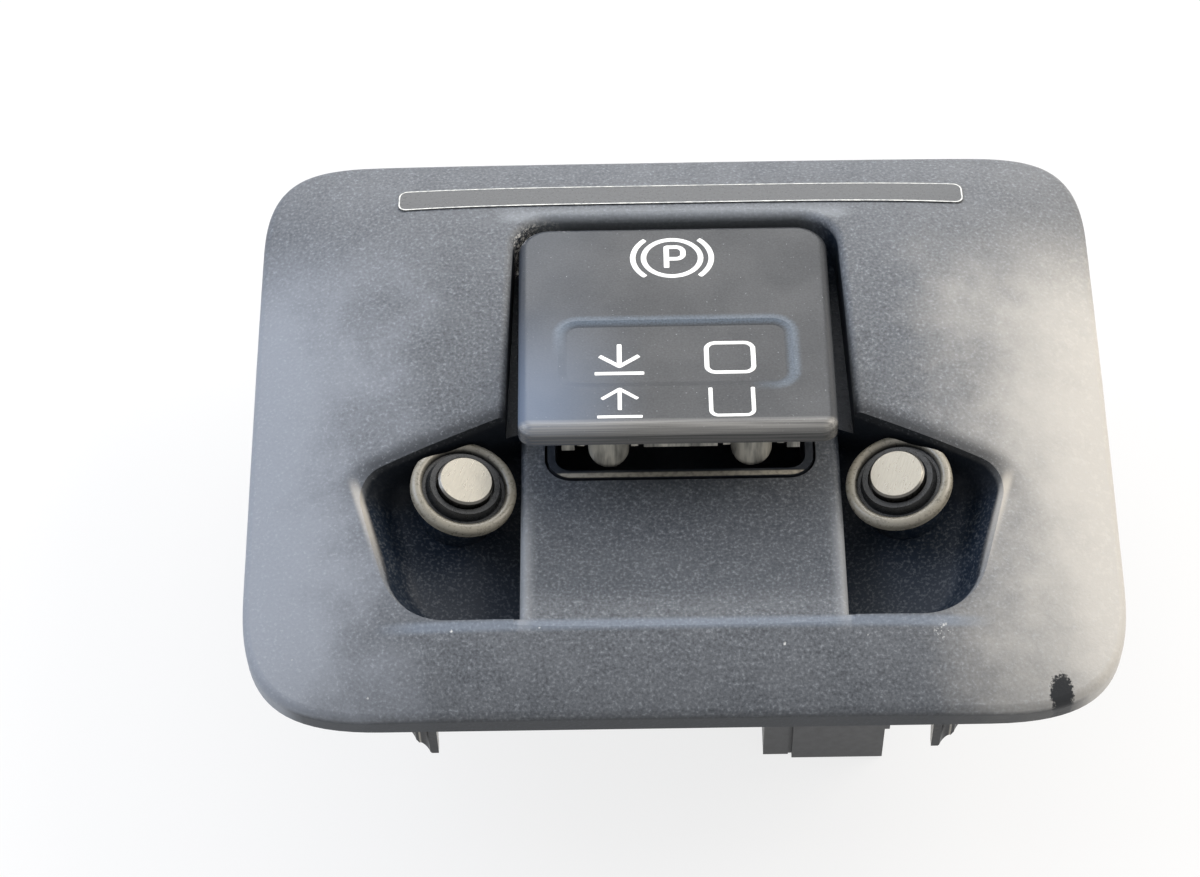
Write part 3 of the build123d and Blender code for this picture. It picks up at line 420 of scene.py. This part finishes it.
def satin_button():
    """Moulded ABS with a satin, fine grain that thumbs have polished: darker and bluer than the panel."""
    material, tree, shader, mm = begin("satin_moulded_abs", IOR=1.52, Specular_IOR_Level=0.3)
    x, y = add(tree, "SeparateXYZ", {0: mm}).outputs[:2]
    grain = add(tree, "TexNoise", {"Vector": mm, "Scale": 1 / 0.3, "Detail": 2.0})
    smear = add(tree, "TexNoise", {"Vector": mm, "Scale": 1 / 9.0, "Detail": 3.0})
    ragged = add(tree, "TexNoise", {"Vector": mm, "Scale": 1 / RAGGED, "Detail": 3.0, "Roughness": 0.7})
    tone = add(tree, "MapRange", {0: grain, 1: 0.3, 2: 0.72})
    dust = add(tree, "MapRange", {0: grain, 1: 0.74, 2: 0.78, 4: 0.8})

    # Painted cool light on the lower left
    painted_cool_light = add(tree, "MapRange", {0: x, 1: -3.0, 2: -22.0}, **SMOOTH)
    lower = add(tree, "MapRange", {0: y, 1: 18.0, 2: -8.0, 3: 0.12, 4: 0.8}, **SMOOTH)

    # The lower edge, where fingers pull, is polished and scored along its length by 0.25 mm lines. Its scores
    # are painted pale as a highlight, and where it turns down it gets painted shade
    rubbed = add(tree, "MapRange", {0: y, 1: -9.3, 2: -10.3})
    streak = add(tree, "VectorMath", {0: mm, 1: (0.06, 4.0, 4.0)}, operation="MULTIPLY")
    streak = add(tree, "TexNoise", {"Vector": streak, "Scale": 1.0, "Detail": 2.0})
    facing = add(tree, "SeparateXYZ", {0: add(tree, "NewGeometry").outputs["Normal"]})
    under = add(tree, "MapRange", {0: facing.outputs[2], 1: 0.5, 2: 0.05, 4: 0.8})

    colour = layered(
        tree,
        "#222427",
        (tone, "#37393c"),
        (dust, "#b9bcc0"),
        # Painted cool light on the lower left
        (painted_cool_light, lower, "#5d6b80"),
        # Dust and a painted bluish highlight on the pad's slopes
        (*pad_dust_and_highlight(tree, mm, x, y, grain), "#77899c"),
        (grit(tree, mm, ragged), "#dcdcda"),
        # Painted highlight along the scored lower edge
        (streak, rubbed, "#a9a7a2"),
        # Painted shade where the lower edge turns down
        (under, rubbed, "#1e2126"),
    )
    rough = add(tree, "MapRange", {0: smear, 1: 0.35, 2: 0.65, 3: 0.32, 4: 0.44})
    rough = add(tree, "Mix", {0: rubbed, 2: rough, 3: 0.26}, data_type="FLOAT")
    bump = add(tree, "Bump", {"Height": grain, "Strength": 0.35, "Distance": 0.03 * MM})
    connect(tree, shader, {"Base Color": colour, "Roughness": rough, "Normal": bump})
    return material


def polished_acetal():
    """Moulded grey acetal, polished where it slides, with pale streaks along the prongs, 1.5 mm apart, painted
    as their highlights.
    """
    material, tree, shader, mm = begin("moulded_grey_acetal", IOR=1.48)
    streaks = add(tree, "VectorMath", {0: mm, 1: (1 / 1.5, 0.08, 0.08)}, operation="MULTIPLY")
    streaks = add(tree, "TexNoise", {"Vector": streaks, "Scale": 1.0, "Detail": 3.0, "Roughness": 0.6})
    # Pale streaks painted as the prongs' vertical highlights
    tone = add(tree, "MapRange", {0: streaks, 1: 0.4, 2: 0.62})
    colour = layered(tree, "#83827d", (tone, "#dcd8cc"))
    rough = add(tree, "MapRange", {0: streaks, 1: 0.3, 2: 0.7, 3: 0.24, 4: 0.14})
    bump = add(tree, "Bump", {"Height": streaks, "Strength": 0.3, "Distance": 0.02 * MM})
    connect(tree, shader, {"Base Color": colour, "Roughness": rough, "Normal": bump})
    return material


def rivet_reach(tree, mm):
    """Distance from the right rivet's own axis, mirrored for the left."""
    x, y, z = add(tree, "SeparateXYZ", {0: mm}).outputs
    side = add(tree, "Math", {0: x}, operation="ABSOLUTE")
    mirrored = add(tree, "CombineXYZ", {0: side, 1: y, 2: z})
    from_seat = add(tree, "VectorMath", {0: mirrored, 1: RIVET_SEAT}, operation="SUBTRACT")
    level = add(tree, "VectorRotate", {0: from_seat, "Angle": RIVET_LEAN}, rotation_type="Y_AXIS")
    across = add(tree, "VectorMath", {0: level, 1: (1.0, 1.0, 0.0)}, operation="MULTIPLY")
    return add(tree, "VectorMath", {0: across}, operation="LENGTH")


def rivet_nylon():
    """Moulded black nylon, glossy, with a pale grey highlight painted round the flange's rim, mottled by
    scuffs.
    """
    material, tree, shader, mm = begin("moulded_black_nylon", IOR=1.53)
    scuffs = add(tree, "TexNoise", {"Vector": mm, "Scale": 1 / 0.7, "Detail": 5.0, "Roughness": 0.7})
    # Painted highlight round the flange's rim, broken by scuffs
    rim = add(tree, "MapRange", {0: rivet_reach(tree, mm), 1: FLANGE_RIM - 0.3, 2: FLANGE_RIM + 0.3})
    worn = add(tree, "MapRange", {0: scuffs, 1: 0.28, 2: 0.5, 3: 0.5})
    colour = layered(tree, "#101113", (scuffs, "#232527"), (worn, rim, "#8f8a7d"))
    rough = add(tree, "MapRange", {0: scuffs, 1: 0.3, 2: 0.7, 3: 0.2, 4: 0.42})
    bump = add(tree, "Bump", {"Height": scuffs, "Strength": 0.3, "Distance": 0.06 * MM})
    connect(tree, shader, {"Base Color": colour, "Roughness": rough, "Normal": bump})
    return material


def housing_nylon():
    """Glass-filled nylon, moulded: near black with a mottled half gloss, and a worn lip under the button."""
    material, tree, shader, mm = begin("moulded_glass_filled_nylon", IOR=1.53)
    split = add(tree, "SeparateXYZ", {0: mm})
    fibre = add(tree, "TexNoise", {"Vector": mm, "Scale": 1 / 0.7, "Detail": 3.0})
    lip = add(tree, "MapRange", {0: split.outputs[2], 1: LIP_TOP - 0.1, 2: LIP_TOP + 0.1})
    front = add(tree, "MapRange", {0: split.outputs[1], 1: LIP_FRONT + 0.1, 2: LIP_FRONT - 0.1})
    worn = add(tree, "MapRange", {0: fibre, 1: 0.3, 2: 0.55, 3: 0.55})
    colour = layered(tree, "#1c2027", (fibre, "#31363d"), (worn, lip, front, "#a8a397"))
    rough = add(tree, "MapRange", {0: fibre, 1: 0.3, 2: 0.7, 3: 0.28, 4: 0.42})
    bump = add(tree, "Bump", {"Height": fibre, "Strength": 0.3, "Distance": 0.02 * MM})
    connect(tree, shader, {"Base Color": colour, "Roughness": rough, "Normal": bump})
    return material


def scratched_head():
    """Bare aluminium head, sanded and scratched along one slant; its side and shaft are painted darker, as
    shade.
    """
    material, tree, shader, mm = begin("scratched_aluminium", Metallic=1.0)
    slanted = add(tree, "VectorRotate", {0: mm, "Angle": math.radians(20.0)}, rotation_type="Z_AXIS")
    lines = add(tree, "VectorMath", {0: slanted, 1: (5.0, 0.35, 0.35)}, operation="MULTIPLY")
    scratch = add(tree, "TexNoise", {"Vector": lines, "Scale": 1.0, "Detail": 4.0, "Roughness": 0.65})
    reach = rivet_reach(tree, mm)
    # Painted shade on the head's side and shaft
    side = add(tree, "MapRange", {0: reach, 1: HEAD_RIM - 0.05, 2: HEAD_RIM + 0.05, 4: 0.85})
    colour = layered(tree, "#8a867c", (scratch, "#bbb6ab"), (side, "#4e4d4b"))
    rough = add(tree, "MapRange", {0: scratch, 1: 0.35, 2: 0.65, 3: 0.42, 4: 0.25})
    bump = add(tree, "Bump", {"Height": scratch, "Strength": 0.5, "Distance": 0.04 * MM})
    connect(tree, shader, {"Base Color": colour, "Roughness": rough, "Normal": bump})
    return material


def notice_film():
    """Gloss-coated polyester film over the dark face, dulled by fine dust."""
    coat = {"Coat_Weight": 0.1, "Coat_Roughness": 0.12}
    material, tree, shader, mm = begin("gloss_coated_polyester_film", IOR=1.5, Specular_IOR_Level=0.3, **coat)
    dust = add(tree, "TexNoise", {"Vector": mm, "Scale": 1 / 0.6, "Detail": 3.0})
    tone = add(tree, "MapRange", {0: dust, 1: 0.35, 2: 0.7})
    rough = add(tree, "MapRange", {0: dust, 1: 0.3, 2: 0.7, 3: 0.24, 4: 0.4})
    connect(tree, shader, {"Base Color": layered(tree, "#36383a", (tone, "#4d4f51")), "Roughness": rough})
    return material


def stamped_foil(colour):
    """Hot-stamped foil of the notice film's border, slightly worn to a grey."""
    material, tree, shader, mm = begin("hot_stamped_foil", Metallic=0.6)
    wear = add(tree, "TexNoise", {"Vector": mm, "Scale": 1 / 0.8, "Detail": 3.0})
    dulled = add(tree, "MapRange", {0: wear, 1: 0.42, 2: 0.62, 4: 0.5})
    rough = add(tree, "MapRange", {0: wear, 1: 0.3, 2: 0.7, 3: 0.3, 4: 0.5})
    connect(tree, shader, {"Base Color": layered(tree, colour, (dulled, "#7d8186")), "Roughness": rough})
    return material


def printed_ink(colour):
    """Pad-printed two-part ink: opaque warm white, slightly less glossy than the plastic."""
    material, tree, shader, mm = begin("pad_printed_ink", Roughness=0.45, IOR=1.5)
    speckle = add(tree, "TexNoise", {"Vector": mm, "Scale": 1 / 0.5, "Detail": 2.0})
    fade = add(tree, "MapRange", {0: speckle, 1: 0.3, 2: 0.6, 3: 0.25, 4: 0.0})
    connect(tree, shader, {"Base Color": layered(tree, colour, (fade, "#d6d8da"))})
    return material


def plain_plastic(name, dark, light, rough, grain_mm=0.6, bump_mm=0.01, **sockets):
    """A moulded plastic: two near colours and a roughness that wander at the grain's scale."""
    material, tree, shader, mm = begin(name, **sockets)
    grain = add(tree, "TexNoise", {"Vector": mm, "Scale": 1 / grain_mm, "Detail": 3.0})
    tone = add(tree, "MapRange", {0: grain, 1: 0.3, 2: 0.7})
    dulled = add(tree, "MapRange", {0: grain, 1: 0.3, 2: 0.7, 3: rough - 0.05, 4: rough + 0.08})
    bump = add(tree, "Bump", {"Height": grain, "Strength": 0.4, "Distance": bump_mm * MM})
    colour = layered(tree, dark, (tone, light))
    connect(tree, shader, {"Base Color": colour, "Roughness": dulled, "Normal": bump})
    return material


def drawn_metal(name, dark, light, rough, grain_mm=0.25, stretch=(1.0, 1.0, 8.0)):
    """A bare metal: fine lines along one axis vary its colour and roughness."""
    material, tree, shader, mm = begin(name, Metallic=1.0)
    lines = add(tree, "VectorMath", {0: mm, 1: tuple(1 / s for s in stretch)}, operation="MULTIPLY")
    grain = add(tree, "TexNoise", {"Vector": lines, "Scale": 1 / grain_mm, "Detail": 3.0})
    worn = add(tree, "MapRange", {0: grain, 1: 0.3, 2: 0.7, 3: rough - 0.08, 4: rough + 0.1})
    connect(tree, shader, {"Base Color": layered(tree, dark, (grain, light)), "Roughness": worn})
    return material


def white_paper():
    """White paper: lit as paper, and washed towards white where the camera or a reflection sees it."""
    material = bpy.data.materials.new("white_paper")
    material.use_nodes = True
    tree = material.node_tree
    tree.nodes.clear()
    paper = add(tree, "BsdfDiffuse", {"Color": linear("#f2f2f2")})
    glow = add(tree, "Emission", {"Color": linear("#ffffff"), "Strength": 1.0})
    share = add(tree, "Math", {0: ray_sees(tree), 1: PAPER_GLOW}, operation="MULTIPLY")
    both = add(tree, "MixShader", {0: share, 1: paper, 2: glow})
    add(tree, "OutputMaterial", {"Surface": both})
    return material


def ray_sees(tree):
    """Factor of the rays that show a background: from the camera, mirrored, or through glass."""
    rays = add(tree, "LightPath").outputs
    seen = rays["Is Camera Ray"]
    for kind in ("Is Glossy Ray", "Is Transmission Ray"):
        seen = add(tree, "Math", {0: seen, 1: rays[kind]}, operation="MAXIMUM")
    return seen


# Surfaces


def new_mesh(name, verts, faces, material):
    """An object of a mesh whose place is in its vertices."""
    mesh = bpy.data.meshes.new(name)
    mesh.from_pydata(verts.tolist(), [], faces.tolist())
    mesh.materials.append(material)
    piece = bpy.data.objects.new(name, mesh)
    bpy.context.scene.collection.objects.link(piece)
    return piece


def as_mesh(name, verts, faces, body, material):
    """A new mesh object that rides on a body."""
    piece = new_mesh(name, verts, faces, material)
    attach(piece, body)
    return piece


def ring_faces(stations, ring, closed=False):
    """Quads of a tube of stations x ring vertices, numbered station by station."""
    i = np.arange(stations if closed else stations - 1)[:, None]
    j = np.arange(ring)[None, :]
    here, there = i * ring, ((i + 1) % stations) * ring
    after = (j + 1) % ring
    return np.stack([here + j, here + after, there + after, there + j], axis=-1).reshape(-1, 4)


def run_along(line):
    """Arc length at each point of a line."""
    return np.concatenate([[0], np.cumsum(np.linalg.norm(np.diff(line, axis=0), axis=1))])


def rounded_path(points, radius, step=0.12, closed=False):
    """A path through straight runs with its corners rounded.

    Each corner P becomes the conic ((1-t)^2 S + 2wt(1-t) P + t^2 E) over the sum of the same weights. S and E
    lie on the runs to its neighbours, that corner's radius from P, or half a run if that is less. w is the
    cosine of half the turn, which makes it an arc of a circle. The result is spaced evenly by arc length.
    """
    corners = np.asarray(points, float)
    radii = np.broadcast_to(radius, len(corners))
    t = np.linspace(0, 1, 9)[:, None]
    count = len(corners)
    chain = []
    for k in range(count):
        if not closed and k in (0, count - 1):
            chain.append(corners[k][None])
            continue
        before, after = corners[k - 1] - corners[k], corners[(k + 1) % count] - corners[k]
        run_in, run_out = np.linalg.norm(before), np.linalg.norm(after)
        start = corners[k] + before * (min(radii[k], run_in / 2) / run_in)
        end = corners[k] + after * (min(radii[k], run_out / 2) / run_out)
        turn = -(before @ after) / (run_in * run_out)
        pull = 2 * math.sqrt((1 + turn) / 2) * t * (1 - t)
        curve = (1 - t) ** 2 * start + pull * corners[k] + t**2 * end
        chain.append(curve / ((1 - t) ** 2 + pull + t**2))
    line = np.concatenate(chain + ([chain[0][:1]] if closed else []))
    run = run_along(line)
    keep = np.concatenate([[True], np.diff(run) > 1e-9])
    line, run = line[keep], run[keep]
    even = np.linspace(0, run[-1], max(4, int(run[-1] / step) + 1))
    even = even[:-1] if closed else even
    return np.stack([np.interp(even, run, line[:, k]) for k in range(line.shape[1])], axis=1)


def ink_strokes(paths, width, height, closed=False, end=0.14):
    """Flat beads of ink along plane paths, as vertices (u, v, w) and quads.

    A station at arc length s with unit normal n gives P(s) + c W(s) n at height h, for the ring (c, h) of
    (-1, -height), (-0.9, top), (0.9, top), (1, -height). W is half the width, less a quarter of it times 1
    minus the square root of 1 - (1 - d / end)^2 at a distance d from either end, so the ends' corners are
    eased. Each path's top is a hair over the last, so none coincide.
    """
    verts, faces, first = [], [], 0
    for k, path in enumerate(paths):
        ahead = np.roll(path, -1, 0) - np.roll(path, 1, 0) if closed else np.gradient(path, axis=0)
        ahead /= np.linalg.norm(ahead, axis=1)[:, None]
        normal = np.stack([-ahead[:, 1], ahead[:, 0]], axis=1)
        half = np.full(len(path), width / 2)
        if not closed:
            run = run_along(path)
            near = np.clip(np.minimum(run, run[-1] - run) / end, 0, 1)
            half *= 0.75 + 0.25 * np.sqrt(1 - (1 - near) ** 2)
        top = height + 0.003 * k
        across = np.array([-1.0, -0.9, 0.9, 1.0])
        level = np.array([-height, top, top, -height])
        place = path[:, None, :] + (half[:, None] * across)[:, :, None] * normal[:, None, :]
        level = np.broadcast_to(level, place.shape[:2])[:, :, None]
        verts.append(np.concatenate([place, level], axis=2).reshape(-1, 3))
        quads = ring_faces(len(path), 4, closed)
        if not closed:
            last = (len(path) - 1) * 4
            quads = np.concatenate([quads, [[3, 2, 1, 0], [last, last + 1, last + 2, last + 3]]])
        faces.append(quads[:, ::-1] + first)
        first += len(path) * 4
    return np.concatenate(verts), np.concatenate(faces)


def film_height():
    """The film's upper surface as a polynomial of x and y, fitted to its upper vertices by least squares.

    All vertices are fitted first with x^0, x^2 ... x^6 by y^0 ... y^3; those above that surface are the upper
    ones, and a second fit is made to them alone.
    """
    mesh = NODES["notice_label"].data
    flat = np.empty(len(mesh.vertices) * 3)
    mesh.vertices.foreach_get("co", flat)
    points = flat.reshape(-1, 3) / MM

    def terms(x, y):
        across, up = x / FILM[1], (y - FILM[2]) / (FILM[3] - FILM[2])
        return np.stack([across ** (2 * i) * up**j for i in range(4) for j in range(4)], axis=-1)

    weights = np.linalg.lstsq(terms(points[:, 0], points[:, 1]), points[:, 2], rcond=None)[0]
    upper = points[points[:, 2] > terms(points[:, 0], points[:, 1]) @ weights]
    weights = np.linalg.lstsq(terms(upper[:, 0], upper[:, 1]), upper[:, 2], rcond=None)[0]
    return lambda x, y: terms(x, y) @ weights


def on_face(uvw):
    """Metres in the frame of points on the button: u across, v up from its top edge, w out of its face."""
    sine, cosine = math.sin(FACE_LEAN), math.cos(FACE_LEAN)
    u, v, w = uvw.T
    y = FACE_TOP_Y + v * cosine + w * sine
    z = FACE_TOP_Z - v * sine + w * cosine
    return np.stack([u, y, z], axis=1) * MM


# Signs in a box one wide and one high: runs of (x, y, how round that corner is), y up. In place of words,
# push is an arrow down to a bar, pull an arrow up from one, and open a box without a lid
SIGNS = {
    "P": [[(0, 0, 0), (0, 1, 0), (1, 1, 1), (1, 0.43, 1), (0.1, 0.43, 0)]],
    "push": [
        [(0.5, 1, 0), (0.5, 0.24, 0)],
        [(0.1, 0.6, 0), (0.5, 0.24, 0), (0.9, 0.6, 0)],
        [(0, 0, 0), (1, 0, 0)],
    ],
    "pull": [
        [(0.5, 0.24, 0), (0.5, 1, 0)],
        [(0.1, 0.64, 0), (0.5, 1, 0), (0.9, 0.64, 0)],
        [(0, 0, 0), (1, 0, 0)],
    ],
    "open": [[(0, 1, 0), (0, 0, 1), (1, 0, 1), (1, 1, 0)]],
}
ROUND_CORNER, SQUARE_CORNER = 1.0, 0.06  # radius added to a corner as it is round, and that of a square one


def sign_paths(row, stroke):
    """Centre lines of a row of signs, as the rows at the top give them."""
    low, high, signs = row
    paths = []
    for sign, left, right in signs:
        inner = np.array([right - left - stroke, high - low - stroke])
        start = np.array([left, low]) + stroke / 2
        for run in SIGNS[sign]:
            run = np.array(run)
            paths.append(rounded_path(start + run[:, :2] * inner, SQUARE_CORNER + ROUND_CORNER * run[:, 2]))
    return paths


def arc_path(centre, radius, start, end):
    """Points of an arc about a centre, from one angle in degrees to another."""
    angle = np.radians(np.linspace(start, end, ARC_POINTS))
    return np.array(centre) + radius * np.stack([np.cos(angle), np.sin(angle)], axis=1)


# Settings


class SwitchFinish(bpy.types.PropertyGroup):
    """What a user would change on the switch."""

    grain_mm: FloatProperty(
        name="Panel grain",
        description="Size of the panel's spark-eroded grain, in millimetres",
        default=0.45,
        min=0.1,
        max=2.0,
    )
    ink: FloatVectorProperty(
        name="Legend ink",
        description="Colour of the printed legends",
        subtype="COLOR",
        size=4,
        default=linear("#f4f4f1"),
        min=0,
        max=1,
    )
    border: FloatVectorProperty(
        name="Notice border",
        description="Colour of the notice film's foil border",
        subtype="COLOR",
        size=4,
        default=linear("#b6b6b2"),
        min=0,
        max=1,
    )
    large_stroke_mm: FloatProperty(
        name="Large stroke",
        description="Stroke width of the upper legend, in millimetres",
        default=0.74,
        min=0.2,
        max=1.5,
    )
    small_stroke_mm: FloatProperty(
        name="Small stroke",
        description="Stroke width of the lower legend, in millimetres",
        default=0.62,
        min=0.2,
        max=1.5,
    )
    key_watts: FloatProperty(
        name="Key light",
        description="Power of the right-hand softbox, in watts",
        default=9.0,
        min=0.0,
        unit="POWER",
    )


class PanelOperator(bpy.types.Operator):
    """Finish the bezel: painted, grained and worn"""

    bl_idname = "brake_switch.panel"
    bl_label = "Finish the panel"

    def execute(self, context):
        finish(["bezel"], painted_panel(context.scene.switch_finish))
        return {"FINISHED"}


class ButtonOperator(bpy.types.Operator):
    """Finish the button, the lever under it and their hinge pin"""

    bl_idname = "brake_switch.button"
    bl_label = "Finish the button"

    def execute(self, context):
        finish(["paddle_cap"], satin_button())
        finish(["paddle_lever"], polished_acetal())
        steel = drawn_metal("ground_steel", "#9b9c9e", "#c4c5c7", 0.25, stretch=(8.0, 1.0, 1.0))
        finish(["pivot_pin"], steel)
        return {"FINISHED"}


class LegendOperator(bpy.types.Operator):
    """Print the two legends, rows of generic signs, and the parking brake sign on the button"""

    bl_idname = "brake_switch.legends"
    bl_label = "Print the legends"

    def execute(self, context):
        settings = context.scene.switch_finish
        ink = printed_ink(tuple(settings.ink))

        # A box's given edges are its stroke's outer ones
        stroke = settings.large_stroke_mm
        box = np.array(CLOSED_BOX)
        to_middle = box.mean(0) - box
        box = rounded_path(box + np.sign(to_middle) * stroke / 2, BOX_CORNER, closed=True)
        self.print_sign("legend_push_lock", sign_paths(UPPER_ROW, stroke), [box], stroke, -PAD_DEPTH, ink)

        stroke = settings.small_stroke_mm
        self.print_sign("legend_pull_release", sign_paths(LOWER_ROW, stroke), [], stroke, 0.0, ink)

        brackets = [arc_path(SIGN_CENTRE, SIGN_BRACKET, *span) for span in BRACKET_SPANS]
        ring = arc_path(SIGN_CENTRE, SIGN_RING, 0, 360)[:-1]
        letter = sign_paths(LETTER_ROW, LETTER_STROKE)
        self.print_sign("parking_sign", brackets + letter, [ring], SIGN_STROKE, 0.0, ink)
        return {"FINISHED"}

    def print_sign(self, name, paths, loops, width, level, ink):
        """Beads along open paths and closed loops, made one piece on the button's face."""
        verts, faces = ink_strokes(paths, width, INK_HEIGHT)
        if loops:
            more, quads = ink_strokes(loops, width, INK_HEIGHT, closed=True)
            verts, faces = np.concatenate([verts, more]), np.concatenate([faces, quads + len(verts)])
        verts = verts + np.array([0, 0, level])
        piece = as_mesh(name, on_face(verts), faces, "paddle", ink)


class RivetOperator(bpy.types.Operator):
    """Finish the two push rivets: nylon bodies and metal heads"""

    bl_idname = "brake_switch.rivets"
    bl_label = "Finish the rivets"

    def execute(self, context):
        finish(["rivet_body_left", "rivet_body_right"], rivet_nylon())
        finish(["rivet_pin_left", "rivet_pin_right"], scratched_head())
        return {"FINISHED"}


class NoticeOperator(bpy.types.Operator):
    """Finish the blank notice film and lay its silvery border on it"""

    bl_idname = "brake_switch.notice"
    bl_label = "Finish the notice film"

    def execute(self, context):
        finish(["notice_label"], notice_film())
        left, right, low, high = np.array(FILM) + np.array([1, -1, 1, -1]) * BORDER_INSET
        corners = [(left, low), (right, low), (right, high), (left, high)]
        path = rounded_path(corners, FILM_CORNER, step=0.3, closed=True)
        verts, faces = ink_strokes([path], BORDER_WIDTH, FOIL_HEIGHT, closed=True)
        verts[:, 2] += film_height()(verts[:, 0], verts[:, 1])
        foil = stamped_foil(tuple(context.scene.switch_finish.border))
        piece = as_mesh("notice_border", verts * MM, faces, "case", foil)
        return {"FINISHED"}


class HousingOperator(bpy.types.Operator):
    """Finish the housing, its cover and the connector"""

    bl_idname = "brake_switch.housing"
    bl_label = "Finish the housing"

    def execute(self, context):
        finish(["housing", "housing_cover"], housing_nylon())
        # PBT, moulded and handled: black, greyed by scuffs
        shell = plain_plastic("moulded_scuffed_pbt", "#303133", "#515254", 0.42, grain_mm=1.4, bump_mm=0.02)
        finish(["connector_shell"], shell)
        finish(["terminal_pins"], drawn_metal("tin_plated_brass", "#a9a59a", "#d6d2c8", 0.28))
        return {"FINISHED"}


class MechanismOperator(bpy.types.Operator):
    """Finish the board, the switches, the plungers, their springs and the screws"""

    bl_idname = "brake_switch.mechanism"
    bl_label = "Finish the mechanism"

    def execute(self, context):
        # Glass-epoxy laminate under a green solder mask
        board = plain_plastic("solder_masked_laminate", "#0d3f25", "#165a36", 0.3, grain_mm=2.2)
        finish(["circuit_board"], board)
        # Acetal, moulded in its natural white
        plunger = plain_plastic("moulded_natural_acetal", "#dcd9d0", "#efece4", 0.34, IOR=1.48)
        finish(["lock_plunger", "release_plunger"], plunger)
        # PBT, moulded: dark grey switch bodies
        block = plain_plastic("moulded_switch_pbt", "#25272a", "#36393c", 0.4)
        finish(["lock_switch", "release_switch"], block)
        # Bright drawn wire, and zinc on the screws: neither has a direction that shows
        wire = drawn_metal("drawn_spring_wire", "#85878a", "#c8cacd", 0.22, stretch=(1.0, 1.0, 1.0))
        finish(["lock_spring", "release_spring"], wire)
        zinc = drawn_metal("zinc_plated_steel", "#989ba0", "#c6c9cd", 0.3, stretch=(1.0, 1.0, 1.0))
        finish(["housing_screws"], zinc)
        return {"FINISHED"}


class StageOperator(bpy.types.Operator):
    """Set up the floor, the softboxes and the camera at the photograph's angle"""

    bl_idname = "brake_switch.stage"
    bl_label = "Set up the stage"

    def execute(self, context):
        scene = context.scene
        scene.view_settings.view_transform = "Standard"
        self.floor()
        self.lights(scene)
        self.world(scene)
        self.camera(scene)
        return {"FINISHED"}

    def floor(self):
        """A level square in a grid of quads, whose first corners are the vertices i (quads + 1) + j."""
        count = FLOOR_QUADS + 1
        line = np.linspace(-FLOOR_HALF_M, FLOOR_HALF_M, count)
        x, y = np.meshgrid(line, line)
        verts = np.stack([x.ravel(), y.ravel(), np.full(count**2, -FLOOR_DROP_M)], axis=1)
        i, j = np.meshgrid(np.arange(FLOOR_QUADS), np.arange(FLOOR_QUADS))
        corner = (i * count + j).ravel()
        faces = np.stack([corner, corner + 1, corner + count + 1, corner + count], axis=1)
        floor = new_mesh("floor", verts, faces, white_paper())

    def lights(self, scene):
        """Three softboxes round the object, turned to it."""
        target = Vector((0, 0, LIFT * MM))
        for name, place, size, share, colour in SOFTBOXES:
            lamp = bpy.data.lights.new(name, "AREA")
            lamp.shape, lamp.size = "SQUARE", size
            lamp.energy = scene.switch_finish.key_watts * share
            lamp.color = linear(colour)[:3]
            light = bpy.data.objects.new(name, lamp)
            scene.collection.objects.link(light)
            light.location = place
            light.rotation_euler = (target - Vector(place)).to_track_quat("-Z", "Y").to_euler()

    def world(self, scene):
        """A white room: full white where it is seen or mirrored, softer where it lights."""
        world = bpy.data.worlds.new("white_room")
        world.use_nodes = True
        tree = world.node_tree
        tree.nodes.clear()
        level = add(tree, "MapRange", {0: ray_sees(tree), 3: ROOM_LEVEL})
        sky = add(tree, "Background", {"Color": linear("#ffffff"), "Strength": level})
        add(tree, "OutputWorld", {"Surface": sky})
        scene.world = world

    def camera(self, scene):
        """Camera whose axes are turned about the target by azimuth and elevation, then rolled."""
        azimuth, elevation, roll = map(math.radians, (CAMERA_AZIMUTH, CAMERA_ELEVATION, CAMERA_ROLL))
        flat = math.cos(elevation)
        back = Vector((math.sin(azimuth) * flat, -math.cos(azimuth) * flat, math.sin(elevation)))
        right = Vector((0, 0, 1)).cross(back).normalized()
        up = back.cross(right)
        turned_right = right * math.cos(roll) + up * math.sin(roll)
        turned_up = up * math.cos(roll) - right * math.sin(roll)
        data = bpy.data.cameras.new("camera")
        data.sensor_width = SENSOR
        data.lens = FOCAL_PIXELS * SENSOR / IMAGE_WIDTH
        data.clip_start, data.clip_end = CLIP_M
        camera = bpy.data.objects.new("camera", data)
        scene.collection.objects.link(camera)
        turn = Matrix((turned_right, turned_up, back)).transposed()
        place = (Vector(CAMERA_TARGET) + back * CAMERA_DISTANCE) * MM
        camera.matrix_world = Matrix.Translation(place) @ turn.to_4x4()
        scene.camera = camera


class SwitchPanel(bpy.types.Panel):
    """The switch's settings and operators"""

    bl_idname = "VIEW3D_PT_brake_switch"
    bl_label = "Parking Brake Switch"
    bl_space_type = "VIEW_3D"
    bl_region_type = "UI"
    bl_category = "Brake Switch"

    def draw(self, context):
        settings = context.scene.switch_finish
        for name in SwitchFinish.__annotations__:
            self.layout.prop(settings, name)
        for operator in OPERATORS:
            self.layout.operator(operator.bl_idname)


OPERATORS = [PanelOperator, ButtonOperator, LegendOperator, RivetOperator, NoticeOperator]
OPERATORS += [HousingOperator, MechanismOperator, StageOperator]
CLASSES = [SwitchFinish, *OPERATORS, SwitchPanel]


def register():
    for item in CLASSES:
        bpy.utils.register_class(item)
    bpy.types.Scene.switch_finish = PointerProperty(type=SwitchFinish)


def unregister():
    del bpy.types.Scene.switch_finish
    for item in reversed(CLASSES):
        bpy.utils.unregister_class(item)


def main():
    register()
    bpy.ops.brake_switch.panel()
    bpy.ops.brake_switch.button()
    bpy.ops.brake_switch.legends()
    bpy.ops.brake_switch.rivets()
    bpy.ops.brake_switch.notice()
    bpy.ops.brake_switch.housing()
    bpy.ops.brake_switch.mechanism()
    bpy.ops.brake_switch.stage()


if __name__ == "__main__":
    main()
